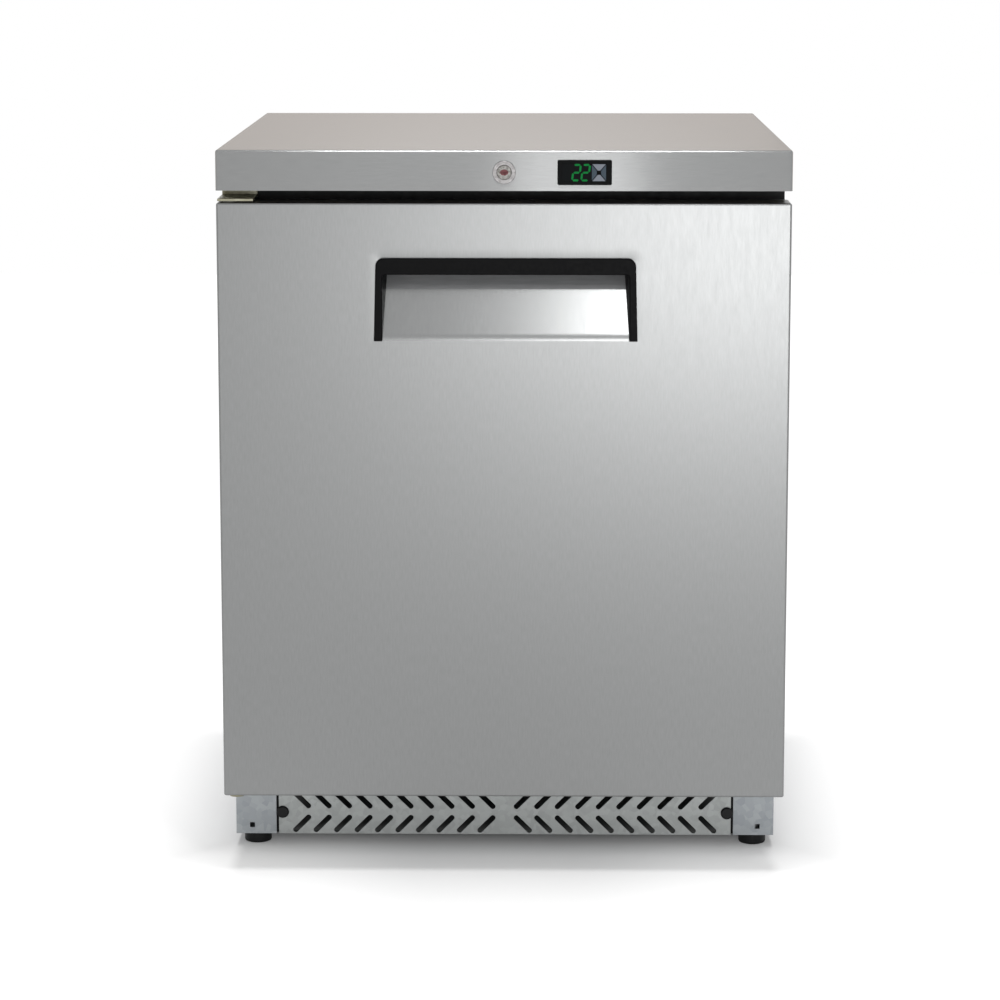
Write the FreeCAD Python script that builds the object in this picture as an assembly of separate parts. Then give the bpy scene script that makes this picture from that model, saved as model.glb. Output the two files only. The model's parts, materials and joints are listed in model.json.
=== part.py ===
import FreeCAD, Part
import math
import os

from FreeCAD import Placement, Rotation, Vector

# An undercounter refrigerator with one solid door, in millimetres.
# X runs to the right as the user faces the door, the door faces -Y and Z is up.
# The origin is on the floor, in the middle of the footprint.

# ---- Overall size --------------------------------------------------------
WIDTH = 658.0                # across the worktop
DEPTH = 690.0                # worktop, front to back
HEIGHT = 850.0               # floor to worktop
CLEARANCE = 0.3              # between pieces that move past each other
RUNNING_FIT = 0.05           # radial, between a shaft and its bore

# ---- Worktop: stainless sheet folded down over a board --------------------
BAND_HEIGHT = 46.5           # the folded edge
WORKTOP_SHEET = 1.2
WORKTOP_FOLD_RADIUS = 3.0
FRONT_RETURN = 18.0          # foot of the front edge, turned back
SIDE_OVERHANG = 4.0
REAR_OVERHANG = 12.0
BAND_OVERLAP = 8.5           # folded edge below the top of the cabinet

# ---- Base: two box rails, a grille and four screw feet --------------------
FOOT_HEIGHT = 14.6
FOOT_DIAMETER = 30.0
FOOT_TIP_DIAMETER = 25.0
FOOT_CHAMFER = 2.4           # round the sole
FOOT_STUD_DIAMETER = 10.0
FOOT_STUD_LENGTH = 38.0
FOOT_FROM_RAIL_END = 24.0
FOOT_NUT_WIDTH = 17.0
FOOT_NUT_HEIGHT = 8.0
BASE_HEIGHT = 75.4
BASE_SETBACK = 41.0          # behind the front of the cabinet
BASE_SHEET = 1.5
RAIL_WIDTH = 48.7
POST_HOLE = 6.0              # square hole in the front of each rail
POST_HOLE_FROM_SIDE = 19.5
POST_HOLE_UP = 10.7
GRILLE_SIDE_GAP = 3.0
GRILLE_TOP_GAP = 4.0
GRILLE_FLANGE = 12.0
SLOT_LENGTH = 28.4
SLOT_WIDTH = 6.5
SLOT_PITCH = 24.8
SLOT_ANGLE = 45.0
SLOT_FROM_MIDDLE = 22.0
SLOT_END_MARGIN = 18.0       # blank sheet at each end of a row
LOWER_ROW_UP = 12.6
ROW_PITCH = 29.7
GRILLE_SCREW_HEAD = 15.0
GRILLE_SCREW_HEAD_HEIGHT = 3.0
GRILLE_SCREW_CHAMFER = 1.5
GRILLE_SCREW_SHANK = 5.0
GRILLE_SCREW_FROM_SIDE = 4.7
GRILLE_SCREW_UP = 27.1
GRILLE_TAB_DEPTH = 16.0

# ---- Cabinet: sheet skins, foam and a liner -------------------------------
CABINET_SKIN = 0.8
FRONT_FRAME_SHEET = 1.0
LINER_WALL = 1.0
BREAKER_WIDTH = 12.0         # plastic strip between the liner and the front frame
BREAKER_DEPTH = 8.0
BREAKER_WALL = 2.0
REAR_WALL = 45.0
REAR_FLANGE = 15.0
MACHINE_DEPTH = 210.0        # machine space, in the lower rear
MACHINE_HEIGHT = 160.0       # above the cabinet's underside
STEP_WALL = 45.0             # foam round the machine space

# ---- Door ------------------------------------------------------------------
DOOR_THICKNESS = 52.0
DOOR_SIDE_GAP = 0.3          # narrower than the worktop, each side
DOOR_TOP_GAP = 14.0
DOOR_BOTTOM_LIFT = 1.5       # above the cabinet's underside
DOOR_SKIN = 0.8
DOOR_EDGE_RADIUS = 2.5
DOOR_LINER = 2.0
PANEL_RAISE = 6.0            # raised middle of the door liner
PANEL_CLEARANCE = 8.0
PANEL_DRAFT = 4.0
GASKET_DEPTH = 14.7
GASKET_WIDTH = 22.0
GASKET_INSET = 14.5
GASKET_BASE = 2.5
GASKET_NECK_WIDTH = 12.0
GASKET_HEAD = 5.2
GASKET_HEAD_STEP = 1.5

# ---- Hinges, on the left ---------------------------------------------------
HINGE_FROM_EDGE = 13.7
HINGE_FROM_FRONT = 20.0
HINGE_SHEET = 3.0
HINGE_PLATE_WIDTH = 41.0
HINGE_PLATE_INSET = 1.2
HINGE_PLATE_SETBACK = 4.0
HINGE_GAP = 1.5              # between the door and the upper plate
HINGE_LEG = 20.0
HINGE_NOSE_RADIUS = 9.0
LOWER_HINGE_REACH = 33.0     # lower plate under the cabinet
HINGE_PIN_DIAMETER = 8.0
HINGE_PIN_LENGTH = 19.0
HINGE_SCREW_HEAD = 9.0
HINGE_SCREW_HEAD_HEIGHT = 2.5
HINGE_SCREW_PITCH = 24.0
BUSH_DIAMETER = 14.0
BUSH_FLANGE_DIAMETER = 18.0
BUSH_FLANGE = 1.2
BUSH_LENGTH = 23.0
CLOSER_DIAMETER = 18.0
CLOSER_LENGTH = 34.0

# ---- Handle: black frame round a steel scoop -------------------------------
HANDLE_OFFSET = 2.3          # right of the door's middle
HANDLE_FROM_DOOR_TOP = 63.0
HANDLE_HEIGHT = 95.5
HANDLE_HALF_TOP = 149.1
HANDLE_HALF_BOTTOM = 151.2
HANDLE_HALF_OPENING = 141.4
HANDLE_CORNER_RADIUS = 9.5
HANDLE_BAR_HEIGHT = 19.0
HANDLE_BAR_LIP = 2.0         # bar's thickness behind the door's face
HANDLE_PROUD = 4.0
HANDLE_EDGE_RADIUS = 2.0
HANDLE_WALL = 2.0
POCKET_DEPTH = 35.0          # at the ceiling
POCKET_NARROWING = 5.5       # half width lost at full depth
SCOOP_BEND_RISE = 6.0        # from the scoop's foot to where its slope would meet the face
SCOOP_SHEET = 1.0
POCKET_CEILING_DROP = 4.0    # below the handle's top

# ---- Lock, in the worktop's band -------------------------------------------
LOCK_X = 0.5
LOCK_FROM_TOP = 25.3
LOCK_ROSE_DIAMETER = 26.4
LOCK_ROSE_PROUD = 2.5
LOCK_ROSE_CHAMFER = 1.2
LOCK_BODY_DIAMETER = 22.0
LOCK_BODY_LENGTH = 22.0
LOCK_BARREL_DIAMETER = 17.0
KEYWAY_WIDTH = 8.0
KEYWAY_HEIGHT = 2.2
KEYWAY_DEPTH = 14.0
LOCK_NUT_WIDTH = 28.0
LOCK_NUT_THICKNESS = 9.0     # with its washer
CAM_LENGTH = 47.0
CAM_WIDTH = 13.0
CAM_THICKNESS = 2.5
CAM_SQUARE = 6.0             # square tail of the barrel
CAM_SCREW_HEAD = 9.0
CAM_SCREW_HEIGHT = 3.0
STRIKE_WALL = 1.5
STRIKE_ROOM = 1.5            # round the cam

# ---- Controller, in the worktop's band --------------------------------------
CONTROL_X = 92.2
CONTROL_FROM_TOP = 25.4
CONTROL_WIDTH = 62.0
CONTROL_HEIGHT = 28.5
CONTROL_PROUD = 2.5
CONTROL_CHAMFER = 0.6
CONTROL_RIM = 2.5
CONTROL_BODY_DEPTH = 40.0
CONTROL_CORNER_RADIUS = 2.0
WINDOW_WIDTH = 34.0
WINDOW_HEIGHT = 21.0
WINDOW_FROM_SIDE = 5.0
WINDOW_THICKNESS = 1.2
WINDOW_RECESS = 0.3
KEYPAD_WIDTH = 16.3
KEYPAD_HEIGHT = 19.3
KEYPAD_FROM_SIDE = 6.7
KEY_GAP = 0.8
KEY_TIP = 2.4                # from the keypad's middle to a key's blunt tip
KEY_THICKNESS = 2.2
KEY_TRAVEL = 0.5
KEY_PROUD = 0.5

# ---- Inside the cabinet ------------------------------------------------------
PILASTER_WIDTH = 20.0
PILASTER_DEPTH = 8.0
PILASTER_SHEET = 1.0
PILASTER_FROM_DOOR = 86.0
PILASTER_SPACING = 340.0
PILASTER_END_GAP = 24.0
PILASTER_SLOT_PITCH = 40.0
PILASTER_SLOT_HEIGHT = 10.0
PILASTER_SLOT_WIDTH = 5.0
CLIP_WIDTH = 14.0
CLIP_HEIGHT = 12.0
CLIP_REACH = 13.0
CLIP_TIP = 3.0
SHELF_SIDE_GAP = 2.0
SHELF_DEPTH = 440.0
SHELF_FROM_DOOR = 26.0
SHELF_ROD = 6.0
SHELF_WIRE = 4.0
SHELF_WIRE_PITCH = 25.0
SHELF_CROSS_RODS = 3
SHELF_CORNER_RADIUS = 14.0
LOWER_SHELF_ABOVE_STEP = 32.0
SHELF_SPACING = 205.0

EVAPORATOR_SPACE = 65.0      # in front of the rear wall
COVER_SHEET = 1.2
COVER_WIDTH = 380.0
COVER_TOP_GAP = 8.0
COVER_BOTTOM_GAP = 6.0
COVER_SLOT_HEIGHT = 5.0
COVER_SLOT_PITCH = 12.0
COVER_SLOT_COUNT = 6
COVER_SLOT_WIDTH = 280.0
FAN_FRAME = 119.0
FAN_FRAME_DEPTH = 38.0
FAN_BORE = 112.0
FAN_HUB_RADIUS = 20.0
FAN_MOTOR_LENGTH = 12.0
FAN_FROM_COVER_TOP = 72.0
FAN_STRUT = 5.0
FAN_BLADE_GAP = 2.5          # blade tip to bore
COIL_WIDTH = 320.0
COIL_DEPTH = 44.0
COIL_HEIGHT = 190.0
COIL_UP = 26.0               # above the step
COIL_FIN_PITCH = 9.0
COIL_FIN = 1.0
COIL_TUBE_DIAMETER = 9.0
COIL_PASSES = 3
TUBE_BEND_STRAIGHT = 1.0     # from an end plate to a return bend
COIL_PLATE = 1.5
DRIP_TRAY_DEPTH = 12.0
DRIP_TRAY_WALL = 1.5
DRAIN_DIAMETER = 12.0
DRAIN_WALL = 1.5
DRAIN_ABOVE_TRAY_FLOOR = 20.0
PROBE_DIAMETER = 6.0
PROBE_LENGTH = 30.0
PROBE_GAP = 1.5              # between the probe and the cover
PROBE_CLIP_WIDTH = 12.0
PROBE_CLIP_HEIGHT = 10.0
PROBE_X = 130.0
PROBE_UP = 60.0              # below the cover's top

# ---- Machine space -------------------------------------------------------------
TRAY_FLANGE = 20.0
TRAY_FRONT_GAP = 10.0
COMPRESSOR_FROM_RAIL = 156.3  # its middle, from the left rail
COMPRESSOR_FROM_REAR = 100.0
COMPRESSOR_RADIUS = 75.0
COMPRESSOR_HEIGHT = 160.0
COMPRESSOR_DOME = 26.0       # radius of its shoulders
COMPRESSOR_WALL = 10.0       # shell and the works against it, at the floor and top
COMPRESSOR_SIDE_WALL = 16.5
COMPRESSOR_SEAM = 3.0        # welded lip round the middle
COMPRESSOR_SEAM_UP = 86.0    # above the foot plate
COMPRESSOR_LAP = 2.3         # upper half inside the lower
COMPRESSOR_FOOT = 3.0
MOUNT_DIAMETER = 22.0
MOUNT_HEIGHT = 14.0
MOUNT_FROM_POT = 6.3         # its middle, outside the pot on the diagonal
TERMINAL_BOX = 44.0
TERMINAL_BOX_DEPTH = 20.0
CONDENSER_FROM_RAIL = 48.3   # from the right rail
CONDENSER_THICKNESS = 48.0
CONDENSER_WIDTH = 150.0
CONDENSER_HEIGHT = 205.0
CONDENSER_FROM_REAR = 28.0
CONDENSER_LEG = 14.0
CONDENSER_ROWS = 6           # tubes, one over the other
CONDENSER_FIN_PITCH = 6.0
CONDENSER_FIN = 1.0
CONDENSER_CORE = 8.0         # band of tubes between the fins' faces
SHROUD_SHEET = 1.2
SHROUD_RING_DEPTH = 18.0
SHROUD_BORE_RADIUS = 68.0
CONDENSER_FAN_HUB_RADIUS = 20.0
CONDENSER_FAN_GAP = 4.0
CONDENSER_FAN_DEPTH = 20.0
CONDENSER_MOTOR_RADIUS = 32.0
CONDENSER_MOTOR_LENGTH = 42.0
CONDENSER_MOTOR_LEG = 6.0
FAN_SHAFT_DIAMETER = 5.0
FAN_BLADE = 1.6
FAN_BLADES = 5
FAN_BLADE_SUNK = 4.0         # root inside the hub
FAN_CHORD_SHARE = 0.85       # of the radius
FAN_DEPTH_SHARE = 0.9        # of the wheel's depth, at most
FAN_SHAFT_SHARE = 0.7        # of the wheel's depth that the shaft enters
FAN_ROOT_PITCH = 42.0
FAN_TIP_PITCH = 24.0
PIPE_DIAMETER = 8.0
THIN_PIPE_DIAMETER = 6.0
DRIER_DIAMETER = 20.0
DRIER_LENGTH = 90.0
DRIER_CHAMFER = 4.0
PIPE_BEND = 16.0
PIPE_UP = 48.0               # lowest stub, above the compressor's feet
PIPE_OFF_MIDDLE = 25.0       # stubs beside the compressor's middle
PAN_WIDTH = 100.0
PAN_DEPTH = 150.0
PAN_HEIGHT = 32.0
PAN_WALL = 2.0
PAN_CORNER_RADIUS = 6.0
PAN_FROM_COMPRESSOR = 16.5   # from the foot plate
PAN_SHIFT = 30.0             # its middle, forward of the drain
ELECTRICAL_BOX_WIDTH = 90.0
ELECTRICAL_BOX_DEPTH = 80.0
ELECTRICAL_BOX_HEIGHT = 85.0
ELECTRICAL_BOX_FROM_SIDE = 14.0
ELECTRICAL_BOX_RADIUS = 6.0
REAR_SLOT_LENGTH = 150.0
REAR_SLOT_HEIGHT = 6.0
REAR_SLOT_PITCH = 14.0
REAR_SLOT_ROWS = 11
REAR_SLOT_COLUMNS = 3
REAR_SLOT_COLUMN_PITCH = 176.0
REAR_SLOT_SHIFT = 50.0       # rows sit right of the middle, clear of the gland
REAR_GRILLE_TOP_GAP = 1.0
REAR_SCREW_HEAD = 8.0
REAR_SCREW_HEAD_HEIGHT = 2.2
REAR_SCREW_FROM_END = 24.0
GLAND_FROM_SIDE = 60.0
GLAND_UP = 60.0
GLAND_BODY_DIAMETER = 16.0
GLAND_NUT_WIDTH = 20.0
GLAND_NUT_LENGTH = 6.0
GLAND_BORE = 8.0
GLAND_OUT = 10.0
GLAND_IN = 12.0

# ---- Planes and edges that follow from the sizes above ------------------------
FRONT = -(DEPTH + HANDLE_PROUD) / 2 + HANDLE_PROUD    # face of the door and band
REAR = FRONT + DEPTH
HALF_WIDTH = WIDTH / 2
BAND_BOTTOM = HEIGHT - BAND_HEIGHT
CABINET_X = HALF_WIDTH - SIDE_OVERHANG
CABINET_TOP = BAND_BOTTOM + BAND_OVERLAP
CABINET_BOTTOM = FOOT_HEIGHT + BASE_HEIGHT
CABINET_FRONT = FRONT + DOOR_THICKNESS + GASKET_DEPTH + CLEARANCE
CABINET_REAR = REAR - REAR_OVERHANG
REAR_INSIDE = CABINET_REAR - 2 * CABINET_SKIN
MACHINE_FRONT = CABINET_REAR - MACHINE_DEPTH
MACHINE_TOP = CABINET_BOTTOM + MACHINE_HEIGHT

DOOR_X = HALF_WIDTH - DOOR_SIDE_GAP
DOOR_TOP = BAND_BOTTOM - DOOR_TOP_GAP
DOOR_BOTTOM = CABINET_BOTTOM + DOOR_BOTTOM_LIFT
DOOR_BACK = FRONT + DOOR_THICKNESS
DOOR_SKIN_BACK = DOOR_BACK - DOOR_LINER
GASKET_X = DOOR_X - GASKET_INSET
GASKET_TOP = DOOR_TOP - GASKET_INSET
GASKET_BOTTOM = DOOR_BOTTOM + GASKET_INSET

FRAME_X = GASKET_X - GASKET_WIDTH          # opening of the steel front frame
FRAME_TOP = GASKET_TOP - GASKET_WIDTH
FRAME_BOTTOM = GASKET_BOTTOM + GASKET_WIDTH
CAVITY_X = FRAME_X - BREAKER_WIDTH
CAVITY_TOP = FRAME_TOP - BREAKER_WIDTH
CAVITY_FLOOR = FRAME_BOTTOM + BREAKER_WIDTH
CAVITY_REAR = CABINET_REAR - REAR_WALL
STEP_FRONT = MACHINE_FRONT - STEP_WALL
STEP_TOP = MACHINE_TOP + STEP_WALL
LINER_FRONT = CABINET_FRONT + BREAKER_DEPTH

RAIL_FRONT = CABINET_FRONT + BASE_SETBACK
RAIL_INNER = CABINET_X - RAIL_WIDTH
RAIL_MIDDLE = CABINET_X - RAIL_WIDTH / 2
TRAY_FLOOR = FOOT_HEIGHT + BASE_SHEET

HINGE_X = -(DOOR_X - HINGE_FROM_EDGE)
HINGE_Y = FRONT + HINGE_FROM_FRONT
HINGE_PLATE_LEFT = -DOOR_X + HINGE_PLATE_INSET
HINGE_PLATE_RIGHT = HINGE_PLATE_LEFT + HINGE_PLATE_WIDTH
HINGE_PLATE_Z = DOOR_TOP + HINGE_GAP

LOCK_Z = HEIGHT - LOCK_FROM_TOP
CAM_FRONT = FRONT + LOCK_BODY_LENGTH + CLEARANCE
CAM_BACK = CAM_FRONT + CAM_THICKNESS
CONTROL_Z = HEIGHT - CONTROL_FROM_TOP

HANDLE_TOP = DOOR_TOP - HANDLE_FROM_DOOR_TOP
HANDLE_BOTTOM = HANDLE_TOP - HANDLE_HEIGHT
POCKET_CEILING = HANDLE_TOP - POCKET_CEILING_DROP

COVER_FRONT = CAVITY_REAR - EVAPORATOR_SPACE
COVER_TOP = CAVITY_TOP - COVER_TOP_GAP
COVER_BOTTOM = STEP_TOP + COVER_BOTTOM_GAP
LOWER_SHELF_Z = STEP_TOP + LOWER_SHELF_ABOVE_STEP
PILASTER_FACE = CAVITY_X - PILASTER_DEPTH

COMPRESSOR_X = COMPRESSOR_FROM_RAIL - RAIL_INNER
MOUNT_REACH = (COMPRESSOR_RADIUS + MOUNT_FROM_POT) / math.sqrt(2)
PAN_LEFT = COMPRESSOR_X + MOUNT_REACH + MOUNT_DIAMETER / 2 + PAN_FROM_COMPRESSOR
DRAIN_X = PAN_LEFT + PAN_WIDTH / 2
DRAIN_Y = (COVER_FRONT + CAVITY_REAR) / 2


# ---- Shapes used by more than one piece ----------------------------------------
def block(x, y, z):
    """A block between pairs of x, y and z."""
    corner = Vector(x[0], y[0], z[0])
    return Part.makeBox(x[1] - x[0], y[1] - y[0], z[1] - z[0], corner)


def rod(radius, start, end):
    """A round bar from one point to another."""
    along = end.sub(start)
    return Part.makeCylinder(radius, along.Length, start, along)


def prism(points, along):
    """A flat outline, pushed along a vector."""
    return Part.Face(Part.makePolygon(points + points[:1])).extrude(along)


def profile_yz(points, x):
    """An outline of (y, z) points, between two values of x."""
    outline = [Vector(x[0], y, z) for y, z in points]
    return prism(outline, Vector(x[1] - x[0], 0, 0))


def plan(points, z):
    """An outline of (x, y) points, between two values of z."""
    outline = [Vector(px, py, z[0]) for px, py in points]
    return prism(outline, Vector(0, 0, z[1] - z[0]))


def front_view(points, y):
    """An outline of (x, z) points, between two values of y."""
    outline = [Vector(px, y[0], pz) for px, pz in points]
    return prism(outline, Vector(0, y[1] - y[0], 0))


def hexagon(width, start, end):
    """A six-sided bar, width across its flats, from one point to another."""
    along = end.sub(start)
    radius = width / math.sqrt(3)
    turns = [math.radians(60 * i) for i in range(6)]
    outline = [Vector(radius * math.cos(t), radius * math.sin(t), 0) for t in turns]
    bar = prism(outline, Vector(0, 0, along.Length))
    bar.Placement = Placement(start, Rotation(Vector(0, 0, 1), along))
    return bar


def ring_frame(outer, inner, y):
    """A flat rectangular ring in front view: outer and inner are (x, bottom, top)."""
    big = block((-outer[0], outer[0]), y, (outer[1], outer[2]))
    return big.cut(block((-inner[0], inner[0]), y, (inner[1], inner[2])))


def edges_where(shape, test):
    """The edges whose midpoint passes a test."""
    return [e for e in shape.Edges if test(e.valueAt((e.FirstParameter + e.LastParameter) / 2), e)]


def runs_along(edge, axis):
    """True for a straight edge that lies along an axis."""
    ends = edge.Vertexes
    if len(ends) < 2:
        return False
    way = ends[1].Point.sub(ends[0].Point)
    return way.Length > 0 and abs(abs(way.dot(axis)) - way.Length) < 1e-6


def obround(length, width):
    """The outline of a slot with round ends, flat in XZ and centred on the origin."""
    half, radius = (length - width) / 2, width / 2
    corner = [Vector(-half, 0, -radius), Vector(half, 0, -radius), Vector(half, 0, radius)]
    corner.append(Vector(-half, 0, radius))
    sides = [
        Part.LineSegment(corner[0], corner[1]),
        Part.Arc(corner[1], Vector(half + radius, 0, 0), corner[2]),
        Part.LineSegment(corner[2], corner[3]),
        Part.Arc(corner[3], Vector(-half - radius, 0, 0), corner[0]),
    ]
    return Part.Face(Part.Wire([side.toShape() for side in sides]))


def slot_tool(length, width, x, y, z, angle=0.0):
    """A slot-shaped cutter through sheet between two values of y."""
    tool = obround(length, width).extrude(Vector(0, y[1] - y[0], 0))
    tool.rotate(Vector(0, 0, 0), Vector(0, 1, 0), -angle)
    tool.translate(Vector(x, y[0], z))
    return tool


def pipe(points, diameter, bend):
    """A round tube's outside: straight runs joined by tangent arcs."""
    edges, start = [], points[0]
    for before, corner, after in zip(points, points[1:], points[2:]):
        way_in = corner.sub(before).normalize()
        way_out = after.sub(corner).normalize()
        turn = way_in.getAngle(way_out)
        setback = bend * math.tan(turn / 2)
        arc_start = corner.sub(way_in * setback)
        arc_end = corner.add(way_out * setback)
        inward = way_out.sub(way_in).normalize()
        middle = corner.add(inward * (bend / math.cos(turn / 2) - bend))
        edges.append(Part.LineSegment(start, arc_start).toShape())
        edges.append(Part.Arc(arc_start, middle, arc_end).toShape())
        start = arc_end
    edges.append(Part.LineSegment(start, points[-1]).toShape())
    way = points[1].sub(points[0])
    section = Part.Wire(Part.Circle(points[0], way, diameter / 2).toShape())
    return Part.Wire(edges).makePipeShell([section], True, False)


def save(name, *pieces):
    """Write one sub-part of one or more separate solids."""
    solids = [solid for piece in pieces for solid in piece.Solids]
    for solid in solids:
        if not solid.isValid() or solid.Volume <= 0:
            raise ValueError(name + " holds an unsound solid")
    shape = solids[0] if len(solids) == 1 else Part.makeCompound(solids)
    shape.exportStep("parts/" + name + ".step")


# ---- Worktop ---------------------------------------------------------------------
def worktop_shell(inset):
    """The worktop's folded box, drawn in by a distance from its outer faces."""
    shell = block(
        (-HALF_WIDTH + inset, HALF_WIDTH - inset),
        (FRONT + inset, REAR - inset),
        (BAND_BOTTOM, HEIGHT - inset),
    )
    top = HEIGHT - inset
    folds = edges_where(shell, lambda p, e: p.z > top - 1e-6 or runs_along(e, Vector(0, 0, 1)))
    return shell.makeFillet(WORKTOP_FOLD_RADIUS - inset, folds)


def worktop_skin():
    """Stainless top with its edges folded down, and cut for the lock and controller."""
    skin = worktop_shell(0).cut(worktop_shell(WORKTOP_SHEET))
    foot = block(
        (-HALF_WIDTH + WORKTOP_FOLD_RADIUS, HALF_WIDTH - WORKTOP_FOLD_RADIUS),
        (FRONT + WORKTOP_SHEET / 2, FRONT + FRONT_RETURN),
        (BAND_BOTTOM, BAND_BOTTOM + WORKTOP_SHEET),
    )
    lock_hole = rod(
        LOCK_BODY_DIAMETER / 2,
        Vector(LOCK_X, FRONT - 1, LOCK_Z),
        Vector(LOCK_X, FRONT + FRONT_RETURN / 2, LOCK_Z),
    )
    return skin.fuse(foot).cut(Part.makeCompound([lock_hole, controller_body(0)])).removeSplitter()


def worktop_core():
    """Board that fills the worktop over the cabinet."""
    inside = HALF_WIDTH - WORKTOP_SHEET
    return block(
        (-inside, inside),
        (CABINET_FRONT, REAR - WORKTOP_SHEET),
        (CABINET_TOP, HEIGHT - WORKTOP_SHEET),
    ).common(worktop_shell(WORKTOP_SHEET))


# ---- Cabinet ------------------------------------------------------------------------
def cavity(grow, front):
    """The cold space, with the step over the machine space, grown outwards."""
    outline = [
        (front, CAVITY_FLOOR - grow),
        (STEP_FRONT + grow, CAVITY_FLOOR - grow),
        (STEP_FRONT + grow, STEP_TOP - grow),
        (CAVITY_REAR + grow, STEP_TOP - grow),
        (CAVITY_REAR + grow, CAVITY_TOP + grow),
        (front, CAVITY_TOP + grow),
    ]
    return profile_yz(outline, (-CAVITY_X - grow, CAVITY_X + grow))


def drain_hole():
    """Where the drain passes down through the step."""
    return rod(
        DRAIN_DIAMETER / 2,
        Vector(DRAIN_X, DRAIN_Y, MACHINE_TOP - CABINET_SKIN),
        Vector(DRAIN_X, DRAIN_Y, STEP_TOP + CABINET_SKIN),
    )


def side_panel(side):
    """Stainless side with a flange folded in at the rear."""
    outer, inner = side * CABINET_X, side * (CABINET_X - CABINET_SKIN)
    flange_end = side * (CABINET_X - REAR_FLANGE)
    rear = CABINET_REAR - CABINET_SKIN
    outline = [
        (outer, CABINET_FRONT + FRONT_FRAME_SHEET),
        (outer, CABINET_REAR),
        (flange_end, CABINET_REAR),
        (flange_end, rear),
        (inner, rear),
        (inner, CABINET_FRONT + FRONT_FRAME_SHEET),
    ]
    return plan(outline, (CABINET_BOTTOM, CABINET_TOP))


def rear_panel():
    """Flat back of the cold part, lapped inside the side flanges."""
    inside = CABINET_X - CABINET_SKIN
    return block(
        (-inside, inside),
        (REAR_INSIDE, CABINET_REAR - CABINET_SKIN),
        (MACHINE_TOP, CABINET_TOP),
    )


def underside_pan():
    """One sheet folded under the cabinet, up the machine space and over its top."""
    outline = [
        (CABINET_FRONT + FRONT_FRAME_SHEET, CABINET_BOTTOM),
        (MACHINE_FRONT, CABINET_BOTTOM),
        (MACHINE_FRONT, MACHINE_TOP),
        (REAR_INSIDE, MACHINE_TOP),
        (REAR_INSIDE, MACHINE_TOP + CABINET_SKIN),
        (MACHINE_FRONT - CABINET_SKIN, MACHINE_TOP + CABINET_SKIN),
        (MACHINE_FRONT - CABINET_SKIN, CABINET_BOTTOM + CABINET_SKIN),
        (CABINET_FRONT + FRONT_FRAME_SHEET, CABINET_BOTTOM + CABINET_SKIN),
    ]
    inside = CABINET_X - CABINET_SKIN
    return profile_yz(outline, (-inside, inside)).cut(drain_hole())


def front_frame():
    """Steel ring that the gasket's magnet pulls against."""
    return ring_frame(
        (CABINET_X, CABINET_BOTTOM, CABINET_TOP),
        (FRAME_X, FRAME_BOTTOM, FRAME_TOP),
        (CABINET_FRONT, CABINET_FRONT + FRONT_FRAME_SHEET),
    )


def breaker_strip():
    """Plastic ring that keeps the cold liner off the warm front frame."""
    opening = (CAVITY_X, CAVITY_FLOOR, CAVITY_TOP)
    lip = (CAVITY_X + BREAKER_WALL, CAVITY_FLOOR - BREAKER_WALL, CAVITY_TOP + BREAKER_WALL)
    face = ring_frame(
        (FRAME_X, FRAME_BOTTOM, FRAME_TOP), opening, (CABINET_FRONT, CABINET_FRONT + BREAKER_WALL)
    )
    return face.fuse(ring_frame(lip, opening, (CABINET_FRONT, LINER_FRONT))).removeSplitter()


def insulation():
    """Foam between the skins and the liner."""
    inside = CABINET_X - CABINET_SKIN
    front = CABINET_FRONT + FRONT_FRAME_SHEET
    low = CABINET_BOTTOM + CABINET_SKIN
    outline = [
        (front, low),
        (MACHINE_FRONT - CABINET_SKIN, low),
        (MACHINE_FRONT - CABINET_SKIN, MACHINE_TOP + CABINET_SKIN),
        (REAR_INSIDE, MACHINE_TOP + CABINET_SKIN),
        (REAR_INSIDE, CABINET_TOP),
        (front, CABINET_TOP),
    ]
    foam = profile_yz(outline, (-inside, inside)).cut(cavity(LINER_WALL, CABINET_FRONT))
    strip_face = block(
        (-FRAME_X, FRAME_X), (CABINET_FRONT, CABINET_FRONT + BREAKER_WALL), (FRAME_BOTTOM, FRAME_TOP)
    )
    lip_x = CAVITY_X + BREAKER_WALL
    strip_lip = block(
        (-lip_x, lip_x),
        (CABINET_FRONT, LINER_FRONT),
        (CAVITY_FLOOR - BREAKER_WALL, CAVITY_TOP + BREAKER_WALL),
    )
    return foam.cut(strip_face.fuse(strip_lip)).cut(drain_hole()).removeSplitter()


def inner_liner():
    """Thin liner of the cold space, open at the front."""
    liner = cavity(LINER_WALL, LINER_FRONT).cut(cavity(0, LINER_FRONT))
    return liner.cut(drain_hole()).removeSplitter()


# ---- Base ------------------------------------------------------------------------------
def foot_places():
    """(name, x, y) of each foot."""
    front, rear = RAIL_FRONT + FOOT_FROM_RAIL_END, CABINET_REAR - FOOT_FROM_RAIL_END
    for end, y in (("front", front), ("rear", rear)):
        yield "foot_" + end + "_left", -RAIL_MIDDLE, y
        yield "foot_" + end + "_right", RAIL_MIDDLE, y


def foot(x, y):
    """Black tapered pad with a chamfered sole on a threaded stud."""
    top = FOOT_HEIGHT - CLEARANCE
    radius, tip = FOOT_DIAMETER / 2, FOOT_TIP_DIAMETER / 2
    outline = [(0, 0), (tip - FOOT_CHAMFER, 0), (tip, FOOT_CHAMFER), (radius, top), (0, top)]
    half = Part.Face(Part.makePolygon([Vector(r, 0, z) for r, z in outline + outline[:1]]))
    pad = half.revolve(Vector(0, 0, 0), Vector(0, 0, 1), 360)
    stud = rod(
        FOOT_STUD_DIAMETER / 2, Vector(0, 0, FOOT_CHAMFER), Vector(0, 0, top + FOOT_STUD_LENGTH)
    )
    whole = pad.fuse(stud).removeSplitter()
    whole.translate(Vector(x, y, 0))
    return whole


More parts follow.
